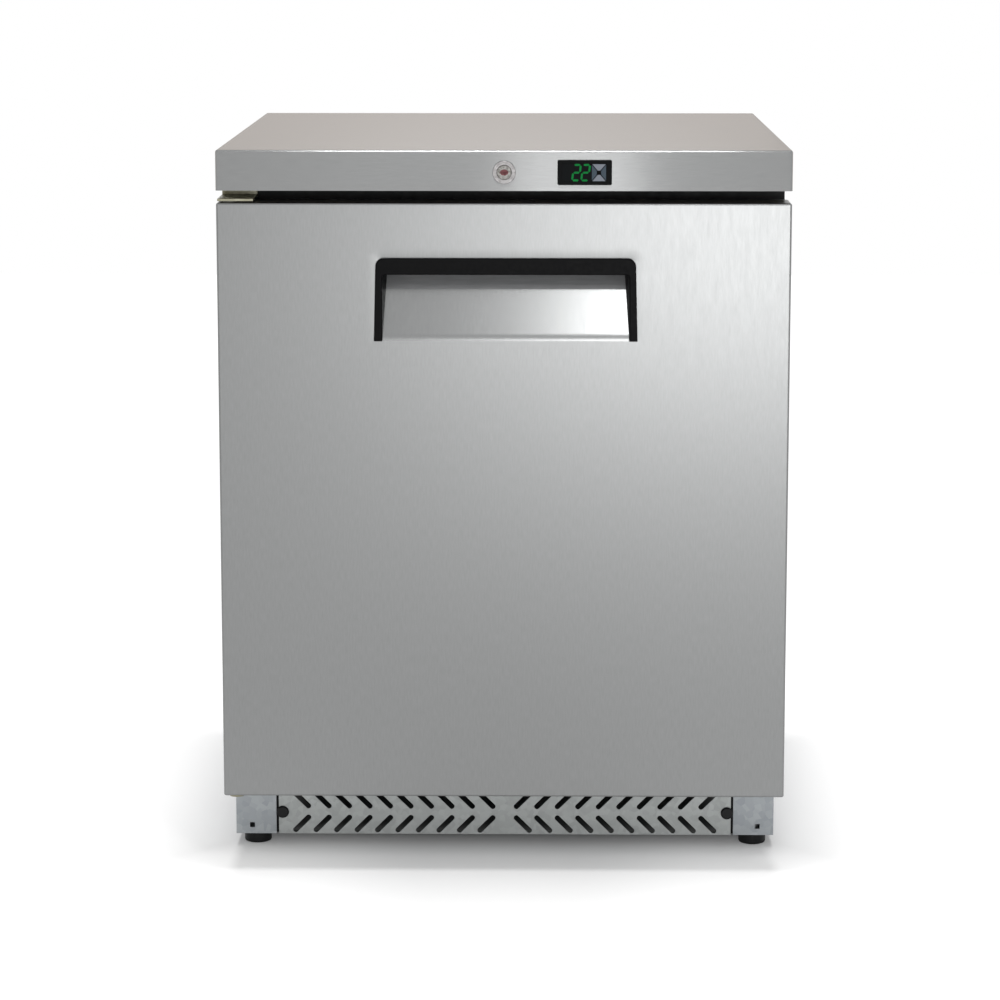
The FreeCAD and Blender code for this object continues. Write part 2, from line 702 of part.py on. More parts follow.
def base_rail(side):
    """Galvanised box rail: its closed front end is a corner post of the base."""
    x = sorted((side * RAIL_INNER, side * CABINET_X))
    rail = block(x, (RAIL_FRONT, CABINET_REAR), (FOOT_HEIGHT, CABINET_BOTTOM))
    hollow = block(
        (x[0] + BASE_SHEET, x[1] - BASE_SHEET),
        (RAIL_FRONT + BASE_SHEET, CABINET_REAR),
        (FOOT_HEIGHT + BASE_SHEET, CABINET_BOTTOM - BASE_SHEET),
    )
    hole_x = side * (CABINET_X - POST_HOLE_FROM_SIDE)
    hole_z = FOOT_HEIGHT + POST_HOLE_UP
    hole = block(
        (hole_x - POST_HOLE / 2, hole_x + POST_HOLE / 2),
        (RAIL_FRONT, RAIL_FRONT + BASE_SHEET),
        (hole_z - POST_HOLE / 2, hole_z + POST_HOLE / 2),
    )
    tab_x = sorted((side * (RAIL_INNER - GRILLE_TAB_DEPTH), side * (RAIL_INNER + BASE_SHEET)))
    tab = block(
        tab_x,
        (RAIL_FRONT + BASE_SHEET, RAIL_FRONT + 2 * BASE_SHEET),
        (FOOT_HEIGHT + BASE_SHEET, CABINET_BOTTOM - GRILLE_TOP_GAP - BASE_SHEET),
    )
    rail = rail.cut(hollow.fuse(hole)).fuse(tab).cut(grille_screw_hole(side))
    nuts = []
    for _, foot_x, foot_y in foot_places():
        if foot_x * side > 0:
            rail = rail.cut(foot_hole(foot_x, foot_y))
            nuts.append(foot_nut(foot_x, foot_y))
    return [rail.removeSplitter()] + nuts


def foot_hole(x, y):
    """Bore for a foot's stud, through a rail's floor and its nut."""
    radius = FOOT_STUD_DIAMETER / 2 + RUNNING_FIT
    return rod(radius, Vector(x, y, 0), Vector(x, y, FOOT_HEIGHT + BASE_SHEET + FOOT_NUT_HEIGHT))


def foot_nut(x, y):
    """Weld nut on the floor of a rail."""
    low = FOOT_HEIGHT + BASE_SHEET
    nut = hexagon(FOOT_NUT_WIDTH, Vector(x, y, low), Vector(x, y, low + FOOT_NUT_HEIGHT))
    return nut.cut(foot_hole(x, y))


def grille_screw_hole(side):
    """Hole for the screw that holds one end of the front grille."""
    x = side * (RAIL_INNER - GRILLE_SIDE_GAP - GRILLE_SCREW_FROM_SIDE)
    z = FOOT_HEIGHT + GRILLE_SCREW_UP
    return rod(
        GRILLE_SCREW_SHANK / 2, Vector(x, RAIL_FRONT, z), Vector(x, RAIL_FRONT + 2 * BASE_SHEET, z)
    )


def front_grille():
    """Kick plate with two rows of slanted slots, mirrored into chevrons."""
    half = RAIL_INNER - GRILLE_SIDE_GAP
    low, top = FOOT_HEIGHT, CABINET_BOTTOM - GRILLE_TOP_GAP
    face = (RAIL_FRONT, RAIL_FRONT + BASE_SHEET)
    reach = (RAIL_FRONT, RAIL_FRONT + GRILLE_FLANGE)
    inner = half - GRILLE_TAB_DEPTH
    grille = block((-half, half), face, (low, top))
    grille = grille.fuse(block((-inner, inner), reach, (low, low + BASE_SHEET)))
    grille = grille.fuse(block((-inner, inner), reach, (top - BASE_SHEET, top)))
    room = half - SLOT_END_MARGIN - SLOT_FROM_MIDDLE
    count = int(room / SLOT_PITCH) + 1
    slots = []
    for side in (-1, 1):
        for i in range(count):
            x = side * (SLOT_FROM_MIDDLE + i * SLOT_PITCH)
            for row, lean in ((0, -side), (1, side)):
                z = low + LOWER_ROW_UP + row * ROW_PITCH
                slots.append(slot_tool(SLOT_LENGTH, SLOT_WIDTH, x, face, z, lean * SLOT_ANGLE))
    grille = grille.cut(Part.makeCompound(slots))
    return grille.cut(grille_screw_hole(-1)).cut(grille_screw_hole(1)).removeSplitter()


def grille_screws():
    """Two black round-headed screws at the ends of the grille."""
    screws = []
    for side in (-1, 1):
        x = side * (RAIL_INNER - GRILLE_SIDE_GAP - GRILLE_SCREW_FROM_SIDE)
        z = FOOT_HEIGHT + GRILLE_SCREW_UP
        head = rod(
            GRILLE_SCREW_HEAD / 2,
            Vector(x, RAIL_FRONT - GRILLE_SCREW_HEAD_HEIGHT, z),
            Vector(x, RAIL_FRONT, z),
        )
        rim = edges_where(head, lambda p, e: p.y < RAIL_FRONT - GRILLE_SCREW_HEAD_HEIGHT + 1e-6)
        head = head.makeChamfer(GRILLE_SCREW_CHAMFER, rim)
        screws.append(head.fuse(grille_screw_hole(side)).removeSplitter())
    return screws


def compressor_tray():
    """Galvanised tray between the rails, with its edges turned up."""
    front, rear = MACHINE_FRONT + TRAY_FRONT_GAP, CABINET_REAR
    outer = block((-RAIL_INNER, RAIL_INNER), (front, rear), (FOOT_HEIGHT, FOOT_HEIGHT + TRAY_FLANGE))
    inside = RAIL_INNER - BASE_SHEET
    hollow = block(
        (-inside, inside),
        (front + BASE_SHEET, rear - BASE_SHEET),
        (TRAY_FLOOR, FOOT_HEIGHT + TRAY_FLANGE),
    )
    return outer.cut(hollow)


# ---- Door --------------------------------------------------------------------------------
def scoop_slope():
    """How steeply the scoop rises above its bend, in radians."""
    return math.atan2(POCKET_CEILING - HANDLE_BOTTOM - SCOOP_BEND_RISE, POCKET_DEPTH)


def scoop_depth(behind, z):
    """Distance back from the door's face to the slope, or to a plane behind it."""
    slope = scoop_slope()
    return POCKET_DEPTH + behind / math.sin(slope) - (POCKET_CEILING - z) / math.tan(slope)


def scoop_side(behind, top):
    """Start, middle and end of the scoop's bend and the slope's top, so far behind its face."""
    bend = math.pi / 2 - scoop_slope()
    radius = SCOOP_BEND_RISE / math.tan(bend / 2)
    centre = Vector(0, FRONT + radius, HANDLE_BOTTOM)
    points = []
    for turn in (0, bend / 2, bend):
        spoke = Vector(0, -math.cos(turn), math.sin(turn))
        points.append(centre + spoke * (radius - behind))
    points.append(Vector(0, FRONT + scoop_depth(behind, top), top))
    return points


def pocket_plan(wall):
    """The pocket between its drafted sides, each side moved out by a wall."""
    depth = scoop_depth(SCOOP_SHEET, HANDLE_TOP)
    narrowing = POCKET_NARROWING * depth / POCKET_DEPTH
    wide = HANDLE_HALF_OPENING + wall
    outline = [
        (HANDLE_OFFSET - wide, FRONT),
        (HANDLE_OFFSET + wide, FRONT),
        (HANDLE_OFFSET + wide - narrowing, FRONT + depth),
        (HANDLE_OFFSET - wide + narrowing, FRONT + depth),
    ]
    return plan(outline, (HANDLE_BOTTOM, HANDLE_TOP))


def drafted(edges, wall):
    """A side view pushed across the handle and trimmed to the pocket's sides."""
    wide = HANDLE_HALF_OPENING + wall
    body = Part.Face(Part.Wire([edge.toShape() for edge in edges]))
    body = body.extrude(Vector(2 * wide, 0, 0))
    body.translate(Vector(HANDLE_OFFSET - wide, 0, 0))
    return body.common(pocket_plan(wall)).removeSplitter()


def pocket(wall):
    """The handle's pocket and its scoop as one solid, with a wall at its sides and ceiling."""
    start, middle, end, back_top = scoop_side(SCOOP_SHEET, POCKET_CEILING + wall)
    mouth_foot, mouth_top = Vector(0, FRONT, HANDLE_BOTTOM), Vector(0, FRONT, back_top.z)
    edges = [
        Part.LineSegment(mouth_foot, start),
        Part.Arc(start, middle, end),
        Part.LineSegment(end, back_top),
        Part.LineSegment(back_top, mouth_top),
        Part.LineSegment(mouth_top, mouth_foot),
    ]
    return drafted(edges, wall)


def handle_scoop():
    """Stainless plate that bends back from the door's face and slopes up to the ceiling."""
    face, back = scoop_side(0, POCKET_CEILING), scoop_side(SCOOP_SHEET, POCKET_CEILING)
    edges = [
        Part.Arc(face[0], face[1], face[2]),
        Part.LineSegment(face[2], face[3]),
        Part.LineSegment(face[3], back[3]),
        Part.LineSegment(back[3], back[2]),
        Part.Arc(back[2], back[1], back[0]),
        Part.LineSegment(back[0], face[0]),
    ]
    return drafted(edges, 0)


def handle_frame_outline():
    """The frame's outer outline in front view."""
    return [
        (HANDLE_OFFSET - HANDLE_HALF_BOTTOM, HANDLE_BOTTOM),
        (HANDLE_OFFSET - HANDLE_HALF_TOP, HANDLE_TOP),
        (HANDLE_OFFSET + HANDLE_HALF_TOP, HANDLE_TOP),
        (HANDLE_OFFSET + HANDLE_HALF_BOTTOM, HANDLE_BOTTOM),
    ]


def handle_bezel():
    """Black moulded frame: a bar to pull on, two cheeks and the pocket's walls."""
    face = (FRONT - HANDLE_PROUD, FRONT)
    frame = front_view(handle_frame_outline(), face)
    corners = edges_where(
        frame, lambda p, e: p.z > HANDLE_TOP - 1e-6 and runs_along(e, Vector(0, 1, 0))
    )
    frame = frame.makeFillet(HANDLE_CORNER_RADIUS, corners)
    bar_low = HANDLE_TOP - HANDLE_BAR_HEIGHT
    opening = block(
        (HANDLE_OFFSET - HANDLE_HALF_OPENING, HANDLE_OFFSET + HANDLE_HALF_OPENING),
        face,
        (HANDLE_BOTTOM, bar_low),
    )
    frame = frame.cut(opening)
    front_edge = FRONT - HANDLE_PROUD + 1e-6
    rims = edges_where(frame, lambda p, e: p.y < front_edge)
    frame = frame.makeFillet(HANDLE_EDGE_RADIUS, rims)
    walls = pocket(HANDLE_WALL).cut(pocket(0))
    lip = block(
        (HANDLE_OFFSET - HANDLE_HALF_OPENING, HANDLE_OFFSET + HANDLE_HALF_OPENING),
        (FRONT, FRONT + HANDLE_BAR_LIP),
        (bar_low, POCKET_CEILING),
    ).common(pocket_plan(0))
    return frame.fuse(walls).fuse(lip).removeSplitter()


def lower_pin_top():
    """Top of the lower hinge pin."""
    return DOOR_BOTTOM + HINGE_PIN_LENGTH


def bush_envelope():
    """Space that the upper bush takes in the door."""
    return rod(
        BUSH_DIAMETER / 2,
        Vector(HINGE_X, HINGE_Y, DOOR_TOP - BUSH_LENGTH),
        Vector(HINGE_X, HINGE_Y, DOOR_TOP),
    )


def closer_envelope():
    """Space that the self-closing cartridge takes in the door."""
    return rod(
        CLOSER_DIAMETER / 2,
        Vector(HINGE_X, HINGE_Y, DOOR_BOTTOM),
        Vector(HINGE_X, HINGE_Y, DOOR_BOTTOM + CLOSER_LENGTH),
    )


def strike_envelope(wall):
    """Pocket in the door's top edge for the lock's cam, with a wall outside it."""
    below = LOCK_Z - DOOR_TOP
    reach = math.hypot(CAM_LENGTH, CAM_WIDTH / 2) + STRIKE_ROOM
    swing = math.sqrt(reach**2 - below**2)
    return block(
        (LOCK_X - CAM_WIDTH / 2 - STRIKE_ROOM - wall, LOCK_X + swing + wall),
        (CAM_FRONT - STRIKE_ROOM - wall, CAM_BACK + STRIKE_ROOM + wall),
        (LOCK_Z - reach - wall, DOOR_TOP),
    )


def lock_strike():
    """Plastic box let into the door's top edge, which the cam drops into."""
    return strike_envelope(STRIKE_WALL).cut(strike_envelope(0))


def door_skin():
    """Brushed stainless pan: the door's face and its four edges."""
    outer = block((-DOOR_X, DOOR_X), (FRONT, DOOR_SKIN_BACK), (DOOR_BOTTOM, DOOR_TOP))
    rims = edges_where(
        outer, lambda p, e: p.y < FRONT + 1e-6 or runs_along(e, Vector(0, 1, 0))
    )
    outer = outer.makeFillet(DOOR_EDGE_RADIUS, rims)
    inner = block(
        (-DOOR_X + DOOR_SKIN, DOOR_X - DOOR_SKIN),
        (FRONT + DOOR_SKIN, DOOR_SKIN_BACK),
        (DOOR_BOTTOM + DOOR_SKIN, DOOR_TOP - DOOR_SKIN),
    )
    inner_rims = edges_where(
        inner, lambda p, e: p.y < FRONT + DOOR_SKIN + 1e-6 or runs_along(e, Vector(0, 1, 0))
    )
    skin = outer.cut(inner.makeFillet(DOOR_EDGE_RADIUS - DOOR_SKIN, inner_rims))
    fittings = [
        pocket(HANDLE_WALL),
        bush_envelope(),
        closer_envelope(),
        strike_envelope(STRIKE_WALL),
    ]
    return skin.cut(Part.makeCompound(fittings)).removeSplitter()


def raised_panel(wall):
    """The liner's raised middle, or the foam inside it, as a tapered slab."""
    base_x = CAVITY_X - PANEL_CLEARANCE - wall
    base_low = CAVITY_FLOOR + PANEL_CLEARANCE + wall
    base_top = CAVITY_TOP - PANEL_CLEARANCE - wall
    start = DOOR_BACK - wall
    wires = []
    for draft, y in ((0, start), (PANEL_DRAFT, start + PANEL_RAISE)):
        x, low, top = base_x - draft, base_low + draft, base_top - draft
        corners = [(-x, low), (x, low), (x, top), (-x, top), (-x, low)]
        wires.append(Part.makePolygon([Vector(px, y, pz) for px, pz in corners]))
    return Part.makeLoft(wires, True, True)


def door_liner():
    """White plastic sheet, formed with a raised panel inside the gasket."""
    sheet = block((-DOOR_X, DOOR_X), (DOOR_SKIN_BACK, DOOR_BACK), (DOOR_BOTTOM, DOOR_TOP))
    corners = edges_where(sheet, lambda p, e: runs_along(e, Vector(0, 1, 0)))
    sheet = sheet.makeFillet(DOOR_EDGE_RADIUS, corners)
    return sheet.fuse(raised_panel(0)).cut(raised_panel(DOOR_LINER)).removeSplitter()


def door_foam():
    """Foam core of the door."""
    core = block(
        (-DOOR_X + DOOR_SKIN, DOOR_X - DOOR_SKIN),
        (FRONT + DOOR_SKIN, DOOR_SKIN_BACK),
        (DOOR_BOTTOM + DOOR_SKIN, DOOR_TOP - DOOR_SKIN),
    )
    rims = edges_where(
        core, lambda p, e: p.y < FRONT + DOOR_SKIN + 1e-6 or runs_along(e, Vector(0, 1, 0))
    )
    core = core.makeFillet(DOOR_EDGE_RADIUS - DOOR_SKIN, rims)
    fittings = [
        pocket(HANDLE_WALL),
        bush_envelope(),
        closer_envelope(),
        strike_envelope(STRIKE_WALL),
    ]
    return core.fuse(raised_panel(DOOR_LINER)).cut(Part.makeCompound(fittings)).removeSplitter()


def door_gasket():
    """Magnetic gasket: a base, a narrow bellows and a flat head, in one ring."""

    def ring(width, y):
        middle = GASKET_WIDTH / 2
        out, back = middle - width / 2, middle + width / 2
        outer = (GASKET_X - out, GASKET_BOTTOM + out, GASKET_TOP - out)
        inner = (GASKET_X - back, GASKET_BOTTOM + back, GASKET_TOP - back)
        return ring_frame(outer, inner, y)

    front = DOOR_BACK + GASKET_DEPTH
    gasket = ring(GASKET_WIDTH, (DOOR_BACK, DOOR_BACK + GASKET_BASE))
    gasket = gasket.fuse(ring(GASKET_NECK_WIDTH, (DOOR_BACK + GASKET_BASE, front - GASKET_HEAD)))
    head = GASKET_WIDTH - 2 * GASKET_HEAD_STEP
    return gasket.fuse(ring(head, (front - GASKET_HEAD, front))).removeSplitter()


def hinge_pin_bore(low, top):
    """Bore that runs on a hinge pin."""
    radius = HINGE_PIN_DIAMETER / 2 + RUNNING_FIT
    return rod(radius, Vector(HINGE_X, HINGE_Y, low), Vector(HINGE_X, HINGE_Y, top))


def door_bearings():
    """Flanged bush at the door's top and the self-closing cartridge at its foot."""
    flange = rod(
        BUSH_FLANGE_DIAMETER / 2,
        Vector(HINGE_X, HINGE_Y, DOOR_TOP),
        Vector(HINGE_X, HINGE_Y, DOOR_TOP + BUSH_FLANGE),
    )
    pin_end = HINGE_PLATE_Z - HINGE_PIN_LENGTH - CLEARANCE
    bush = bush_envelope().fuse(flange).cut(hinge_pin_bore(pin_end, DOOR_TOP + BUSH_FLANGE))
    washer = rod(
        BUSH_FLANGE_DIAMETER / 2,
        Vector(HINGE_X, HINGE_Y, CABINET_BOTTOM + CLEARANCE),
        Vector(HINGE_X, HINGE_Y, DOOR_BOTTOM),
    )
    bore = hinge_pin_bore(CABINET_BOTTOM, lower_pin_top() + CLEARANCE)
    closer = closer_envelope().fuse(washer).cut(bore)
    return [bush.removeSplitter(), closer.removeSplitter()]


# ---- Hinge brackets -------------------------------------------------------------------------
def hinge_pin(low, top):
    """Steel pin on the hinge line."""
    return rod(
        HINGE_PIN_DIAMETER / 2, Vector(HINGE_X, HINGE_Y, low), Vector(HINGE_X, HINGE_Y, top)
    )


def hinge_screw_xs():
    """Where the two screws of a bracket stand."""
    middle = (HINGE_PLATE_LEFT + HINGE_PLATE_RIGHT) / 2
    return (middle - HINGE_SCREW_PITCH / 2, middle + HINGE_SCREW_PITCH / 2)


def hinge_top_bracket():
    """Zinc-plated angle on the cabinet's front, with a pin down into the door."""
    x = (HINGE_PLATE_LEFT, HINGE_PLATE_RIGHT)
    plate_top = HINGE_PLATE_Z + HINGE_SHEET
    plate = block(x, (FRONT + HINGE_PLATE_SETBACK, CABINET_FRONT), (HINGE_PLATE_Z, plate_top))
    back = (CABINET_FRONT - HINGE_SHEET, CABINET_FRONT)
    leg = block(x, back, (HINGE_PLATE_Z, HINGE_PLATE_Z + HINGE_LEG))
    pin = hinge_pin(HINGE_PLATE_Z - HINGE_PIN_LENGTH, plate_top)
    pieces = [plate.fuse(leg).cut(pin).removeSplitter(), pin]
    screw_z = HINGE_PLATE_Z + (HINGE_LEG + HINGE_SHEET) / 2
    for screw_x in hinge_screw_xs():
        head_back = Vector(screw_x, CABINET_FRONT - HINGE_SHEET, screw_z)
        head_front = head_back - Vector(0, HINGE_SCREW_HEAD_HEIGHT, 0)
        pieces.append(rod(HINGE_SCREW_HEAD / 2, head_front, head_back))
    return pieces


def hinge_bottom_bracket():
    """Zinc-plated plate under the cabinet, with a pin up into the door."""
    low, top = CABINET_BOTTOM - HINGE_SHEET, CABINET_BOTTOM
    left, right = HINGE_PLATE_LEFT, HINGE_PLATE_RIGHT
    rear = CABINET_FRONT + LOWER_HINGE_REACH
    plate = block((left, right), (HINGE_Y, rear), (low, top))
    nose = rod(HINGE_NOSE_RADIUS, Vector(HINGE_X, HINGE_Y, low), Vector(HINGE_X, HINGE_Y, top))
    shoulder = HINGE_X + HINGE_NOSE_RADIUS
    relief = plan([(shoulder, HINGE_Y), (right, HINGE_Y), (right, CABINET_FRONT)], (low, top))
    pin = hinge_pin(low, lower_pin_top())
    plate = plate.fuse(nose).cut(relief).cut(pin).removeSplitter()
    pieces = [plate, pin]
    screw_y = CABINET_FRONT + LOWER_HINGE_REACH / 2
    for screw_x in hinge_screw_xs():
        head_top = Vector(screw_x, screw_y, low)
        head_low = head_top - Vector(0, 0, HINGE_SCREW_HEAD_HEIGHT)
        pieces.append(rod(HINGE_SCREW_HEAD / 2, head_low, head_top))
    return pieces


# ---- Lock ---------------------------------------------------------------------------------------
def on_lock_axis(y):
    """A point on the lock's axis."""
    return Vector(LOCK_X, y, LOCK_Z)


def lock_housing():
    """Chromed rose and threaded body, and the nut that clamps it to the band."""
    back = FRONT + LOCK_BODY_LENGTH
    rose_front = FRONT - LOCK_ROSE_PROUD
    rose = rod(LOCK_ROSE_DIAMETER / 2, on_lock_axis(rose_front), on_lock_axis(FRONT))
    rim = edges_where(rose, lambda p, e: p.y < rose_front + 1e-6)
    rose = rose.makeChamfer(LOCK_ROSE_CHAMFER, rim)
    body = rod(LOCK_BODY_DIAMETER / 2, on_lock_axis(FRONT), on_lock_axis(back))
    bore = rod(
        LOCK_BARREL_DIAMETER / 2 + RUNNING_FIT, on_lock_axis(rose_front), on_lock_axis(back)
    )
    nut_front = FRONT + WORKTOP_SHEET
    nut = hexagon(
        LOCK_NUT_WIDTH, on_lock_axis(nut_front), on_lock_axis(nut_front + LOCK_NUT_THICKNESS)
    )
    return [rose.fuse(body).cut(bore).removeSplitter(), nut.cut(body)]


def lock_barrel():
    """Barrel with a keyway, and the square at its rear that drives the cam."""
    front = FRONT - LOCK_ROSE_PROUD
    barrel = rod(LOCK_BARREL_DIAMETER / 2, on_lock_axis(front), on_lock_axis(CAM_FRONT))
    keyway = block(
        (LOCK_X - KEYWAY_WIDTH / 2, LOCK_X + KEYWAY_WIDTH / 2),
        (front, front + KEYWAY_DEPTH),
        (LOCK_Z - KEYWAY_HEIGHT / 2, LOCK_Z + KEYWAY_HEIGHT / 2),
    )
    return barrel.cut(keyway).fuse(cam_square()).removeSplitter()


def cam_square():
    """Square tail of the barrel."""
    half = CAM_SQUARE / 2
    x, z = (LOCK_X - half, LOCK_X + half), (LOCK_Z - half, LOCK_Z + half)
    return block(x, (CAM_FRONT, CAM_BACK), z)


def lock_cam():
    """Steel cam on the barrel's tail: level when unlocked, down into the door when locked."""
    eye = rod(CAM_WIDTH / 2, on_lock_axis(CAM_FRONT), on_lock_axis(CAM_BACK))
    arm = block(
        (LOCK_X, LOCK_X + CAM_LENGTH),
        (CAM_FRONT, CAM_BACK),
        (LOCK_Z - CAM_WIDTH / 2, LOCK_Z + CAM_WIDTH / 2),
    )
    screw = rod(CAM_SCREW_HEAD / 2, on_lock_axis(CAM_BACK), on_lock_axis(CAM_BACK + CAM_SCREW_HEIGHT))
    return [eye.fuse(arm).cut(cam_square()).removeSplitter(), screw]


# ---- Controller -----------------------------------------------------------------------------------
def controller_body(shrink):
    """Rear part of the case, which passes through the band."""
    half_x = CONTROL_WIDTH / 2 - CONTROL_RIM - shrink
    half_z = CONTROL_HEIGHT / 2 - CONTROL_RIM - shrink
    return block(
        (CONTROL_X - half_x, CONTROL_X + half_x),
        (FRONT, FRONT + CONTROL_BODY_DEPTH),
        (CONTROL_Z - half_z, CONTROL_Z + half_z),
    )


def window_block(y):
    """The display window's outline, between two values of y."""
    left = CONTROL_X - CONTROL_WIDTH / 2 + WINDOW_FROM_SIDE
    low = CONTROL_Z - WINDOW_HEIGHT / 2
    return block((left, left + WINDOW_WIDTH), y, (low, low + WINDOW_HEIGHT))


def keypad_middle():
    """x of the middle of the four keys."""
    return CONTROL_X + CONTROL_WIDTH / 2 - KEYPAD_FROM_SIDE - KEYPAD_WIDTH / 2


def key_well():
    """Recess in the case that the four keys share."""
    x, front = keypad_middle(), FRONT - CONTROL_PROUD
    half_x, half_z = KEYPAD_WIDTH / 2 + CLEARANCE, KEYPAD_HEIGHT / 2 + CLEARANCE
    depth = KEY_THICKNESS - KEY_PROUD + KEY_TRAVEL + CLEARANCE
    return block(
        (x - half_x, x + half_x), (front, front + depth), (CONTROL_Z - half_z, CONTROL_Z + half_z)
    )


def controller_case():
    """Black case: a bezel over the band and a body behind it."""
    front = FRONT - CONTROL_PROUD
    bezel = block(
        (CONTROL_X - CONTROL_WIDTH / 2, CONTROL_X + CONTROL_WIDTH / 2),
        (front, FRONT),
        (CONTROL_Z - CONTROL_HEIGHT / 2, CONTROL_Z + CONTROL_HEIGHT / 2),
    )
    corners = edges_where(bezel, lambda p, e: runs_along(e, Vector(0, 1, 0)))
    bezel = bezel.makeFillet(CONTROL_CORNER_RADIUS, corners)
    rim = edges_where(bezel, lambda p, e: p.y < front + 1e-6)
    bezel = bezel.makeChamfer(CONTROL_CHAMFER, rim)
    recess = window_block((front, front + WINDOW_RECESS + WINDOW_THICKNESS))
    return bezel.fuse(controller_body(0)).cut(recess.fuse(key_well())).removeSplitter()


def controller_window():
    """Smoked window over the display."""
    front = FRONT - CONTROL_PROUD + WINDOW_RECESS
    return window_block((front, front + WINDOW_THICKNESS))


def key(across, out):
    """One wedge-shaped key: across and out are unit steps in (x, z) from the middle."""
    half_across = KEYPAD_WIDTH / 2 if across[0] else KEYPAD_HEIGHT / 2
    half_out = KEYPAD_HEIGHT / 2 if across[0] else KEYPAD_WIDTH / 2
    diagonal = math.hypot(half_across, half_out)
    start = KEY_GAP / 2 * diagonal / half_across
    slope = half_across / half_out
    near = (KEY_TIP - start) * slope
    far = (half_out - start) * slope
    local = [(-near, KEY_TIP), (near, KEY_TIP), (far, half_out), (-far, half_out)]
    x, front = keypad_middle(), FRONT - CONTROL_PROUD - KEY_PROUD
    outline = [
        (x + a * across[0] + b * out[0], CONTROL_Z + a * across[1] + b * out[1]) for a, b in local
    ]
    return front_view(outline, (front, front + KEY_THICKNESS))


# ---- Inside the cabinet ------------------------------------------------------------------------------
def pilaster_ys():
    """Front and rear pilaster positions."""
    front = CABINET_FRONT + PILASTER_FROM_DOOR
    return (front, front + PILASTER_SPACING)


def pilaster(side, y):
    """Slotted channel on a side wall that the shelf clips hook into."""
    low = (STEP_TOP if y > STEP_FRONT else CAVITY_FLOOR) + PILASTER_END_GAP
    top = CAVITY_TOP - PILASTER_END_GAP
    x = sorted((side * PILASTER_FACE, side * CAVITY_X))
    hollow_x = sorted((side * (PILASTER_FACE + PILASTER_SHEET), side * CAVITY_X))
    half = PILASTER_WIDTH / 2
    channel = block(x, (y - half, y + half), (low, top))
    hollow = block(
        hollow_x, (y - half + PILASTER_SHEET, y + half - PILASTER_SHEET), (low, top)
    )
    slots = []
    z = low + PILASTER_SLOT_PITCH / 2
    while z < top - PILASTER_SLOT_PITCH / 2:
        slots.append(
            block(
                x,
                (y - PILASTER_SLOT_WIDTH / 2, y + PILASTER_SLOT_WIDTH / 2),
                (z, z + PILASTER_SLOT_HEIGHT),
            )
        )
        z += PILASTER_SLOT_PITCH
    return channel.cut(hollow).cut(Part.makeCompound(slots)).removeSplitter()


def shelf_clip(side, y, shelf_z):
    """Wedge that hooks on a pilaster and carries a shelf's side rod."""
    top = shelf_z - SHELF_ROD / 2 - CLEARANCE
    face, tip = side * PILASTER_FACE, side * (PILASTER_FACE - CLIP_REACH)
    outline = [(face, top), (tip, top), (tip, top - CLIP_TIP), (face, top - CLIP_HEIGHT)]
    return front_view(outline, (y - CLIP_WIDTH / 2, y + CLIP_WIDTH / 2))


def wire_shelf(z):
    """Welded wire shelf: a bent rod frame, cross rods in it and close wires on top."""
    radius = SHELF_ROD / 2
    half = PILASTER_FACE - SHELF_SIDE_GAP - radius
    front = CABINET_FRONT + SHELF_FROM_DOOR + radius
    rear = front + SHELF_DEPTH - SHELF_ROD
    middle = (front + rear) / 2
    corners = [Vector(half, middle, z), Vector(half, rear, z), Vector(-half, rear, z)]
    corners += [Vector(-half, front, z), Vector(half, front, z), Vector(half, middle, z)]
    bars = [pipe(corners, SHELF_ROD, SHELF_CORNER_RADIUS)]
    for i in range(SHELF_CROSS_RODS):
        y = front + (rear - front) * (i + 1) / (SHELF_CROSS_RODS + 1)
        bars.append(rod(radius, Vector(radius - half, y, z), Vector(half - radius, y, z)))
    wires = int((2 * half - 2 * SHELF_CORNER_RADIUS) / SHELF_WIRE_PITCH)
    first = -(wires - 1) * SHELF_WIRE_PITCH / 2
    wire_z = z + radius + SHELF_WIRE / 2
    for i in range(wires):
        x = first + i * SHELF_WIRE_PITCH
        bars.append(rod(SHELF_WIRE / 2, Vector(x, front, wire_z), Vector(x, rear, wire_z)))
    return bars


def evaporator_fan_middle():
    """(x, z) of the evaporator fan."""
    return 0.0, COVER_TOP - FAN_FROM_COVER_TOP


def evaporator_cover():
    """Folded cover over the coil and fan, with a fan opening and air slots."""
    half = COVER_WIDTH / 2
    outer = block((-half, half), (COVER_FRONT, CAVITY_REAR), (COVER_BOTTOM, COVER_TOP))
    hollow = block(
        (-half + COVER_SHEET, half - COVER_SHEET),
        (COVER_FRONT + COVER_SHEET, CAVITY_REAR),
        (COVER_BOTTOM, COVER_TOP - COVER_SHEET),
    )
    x, z = evaporator_fan_middle()
    face = (COVER_FRONT, COVER_FRONT + COVER_SHEET)
    cuts = [rod(FAN_BORE / 2, Vector(x, face[0], z), Vector(x, face[1], z))]
    for i in range(COVER_SLOT_COUNT):
        slot_z = COVER_BOTTOM + (i + 1) * COVER_SLOT_PITCH
        cuts.append(slot_tool(COVER_SLOT_WIDTH, COVER_SLOT_HEIGHT, 0, face, slot_z))
    return outer.cut(hollow).cut(Part.makeCompound(cuts)).removeSplitter()


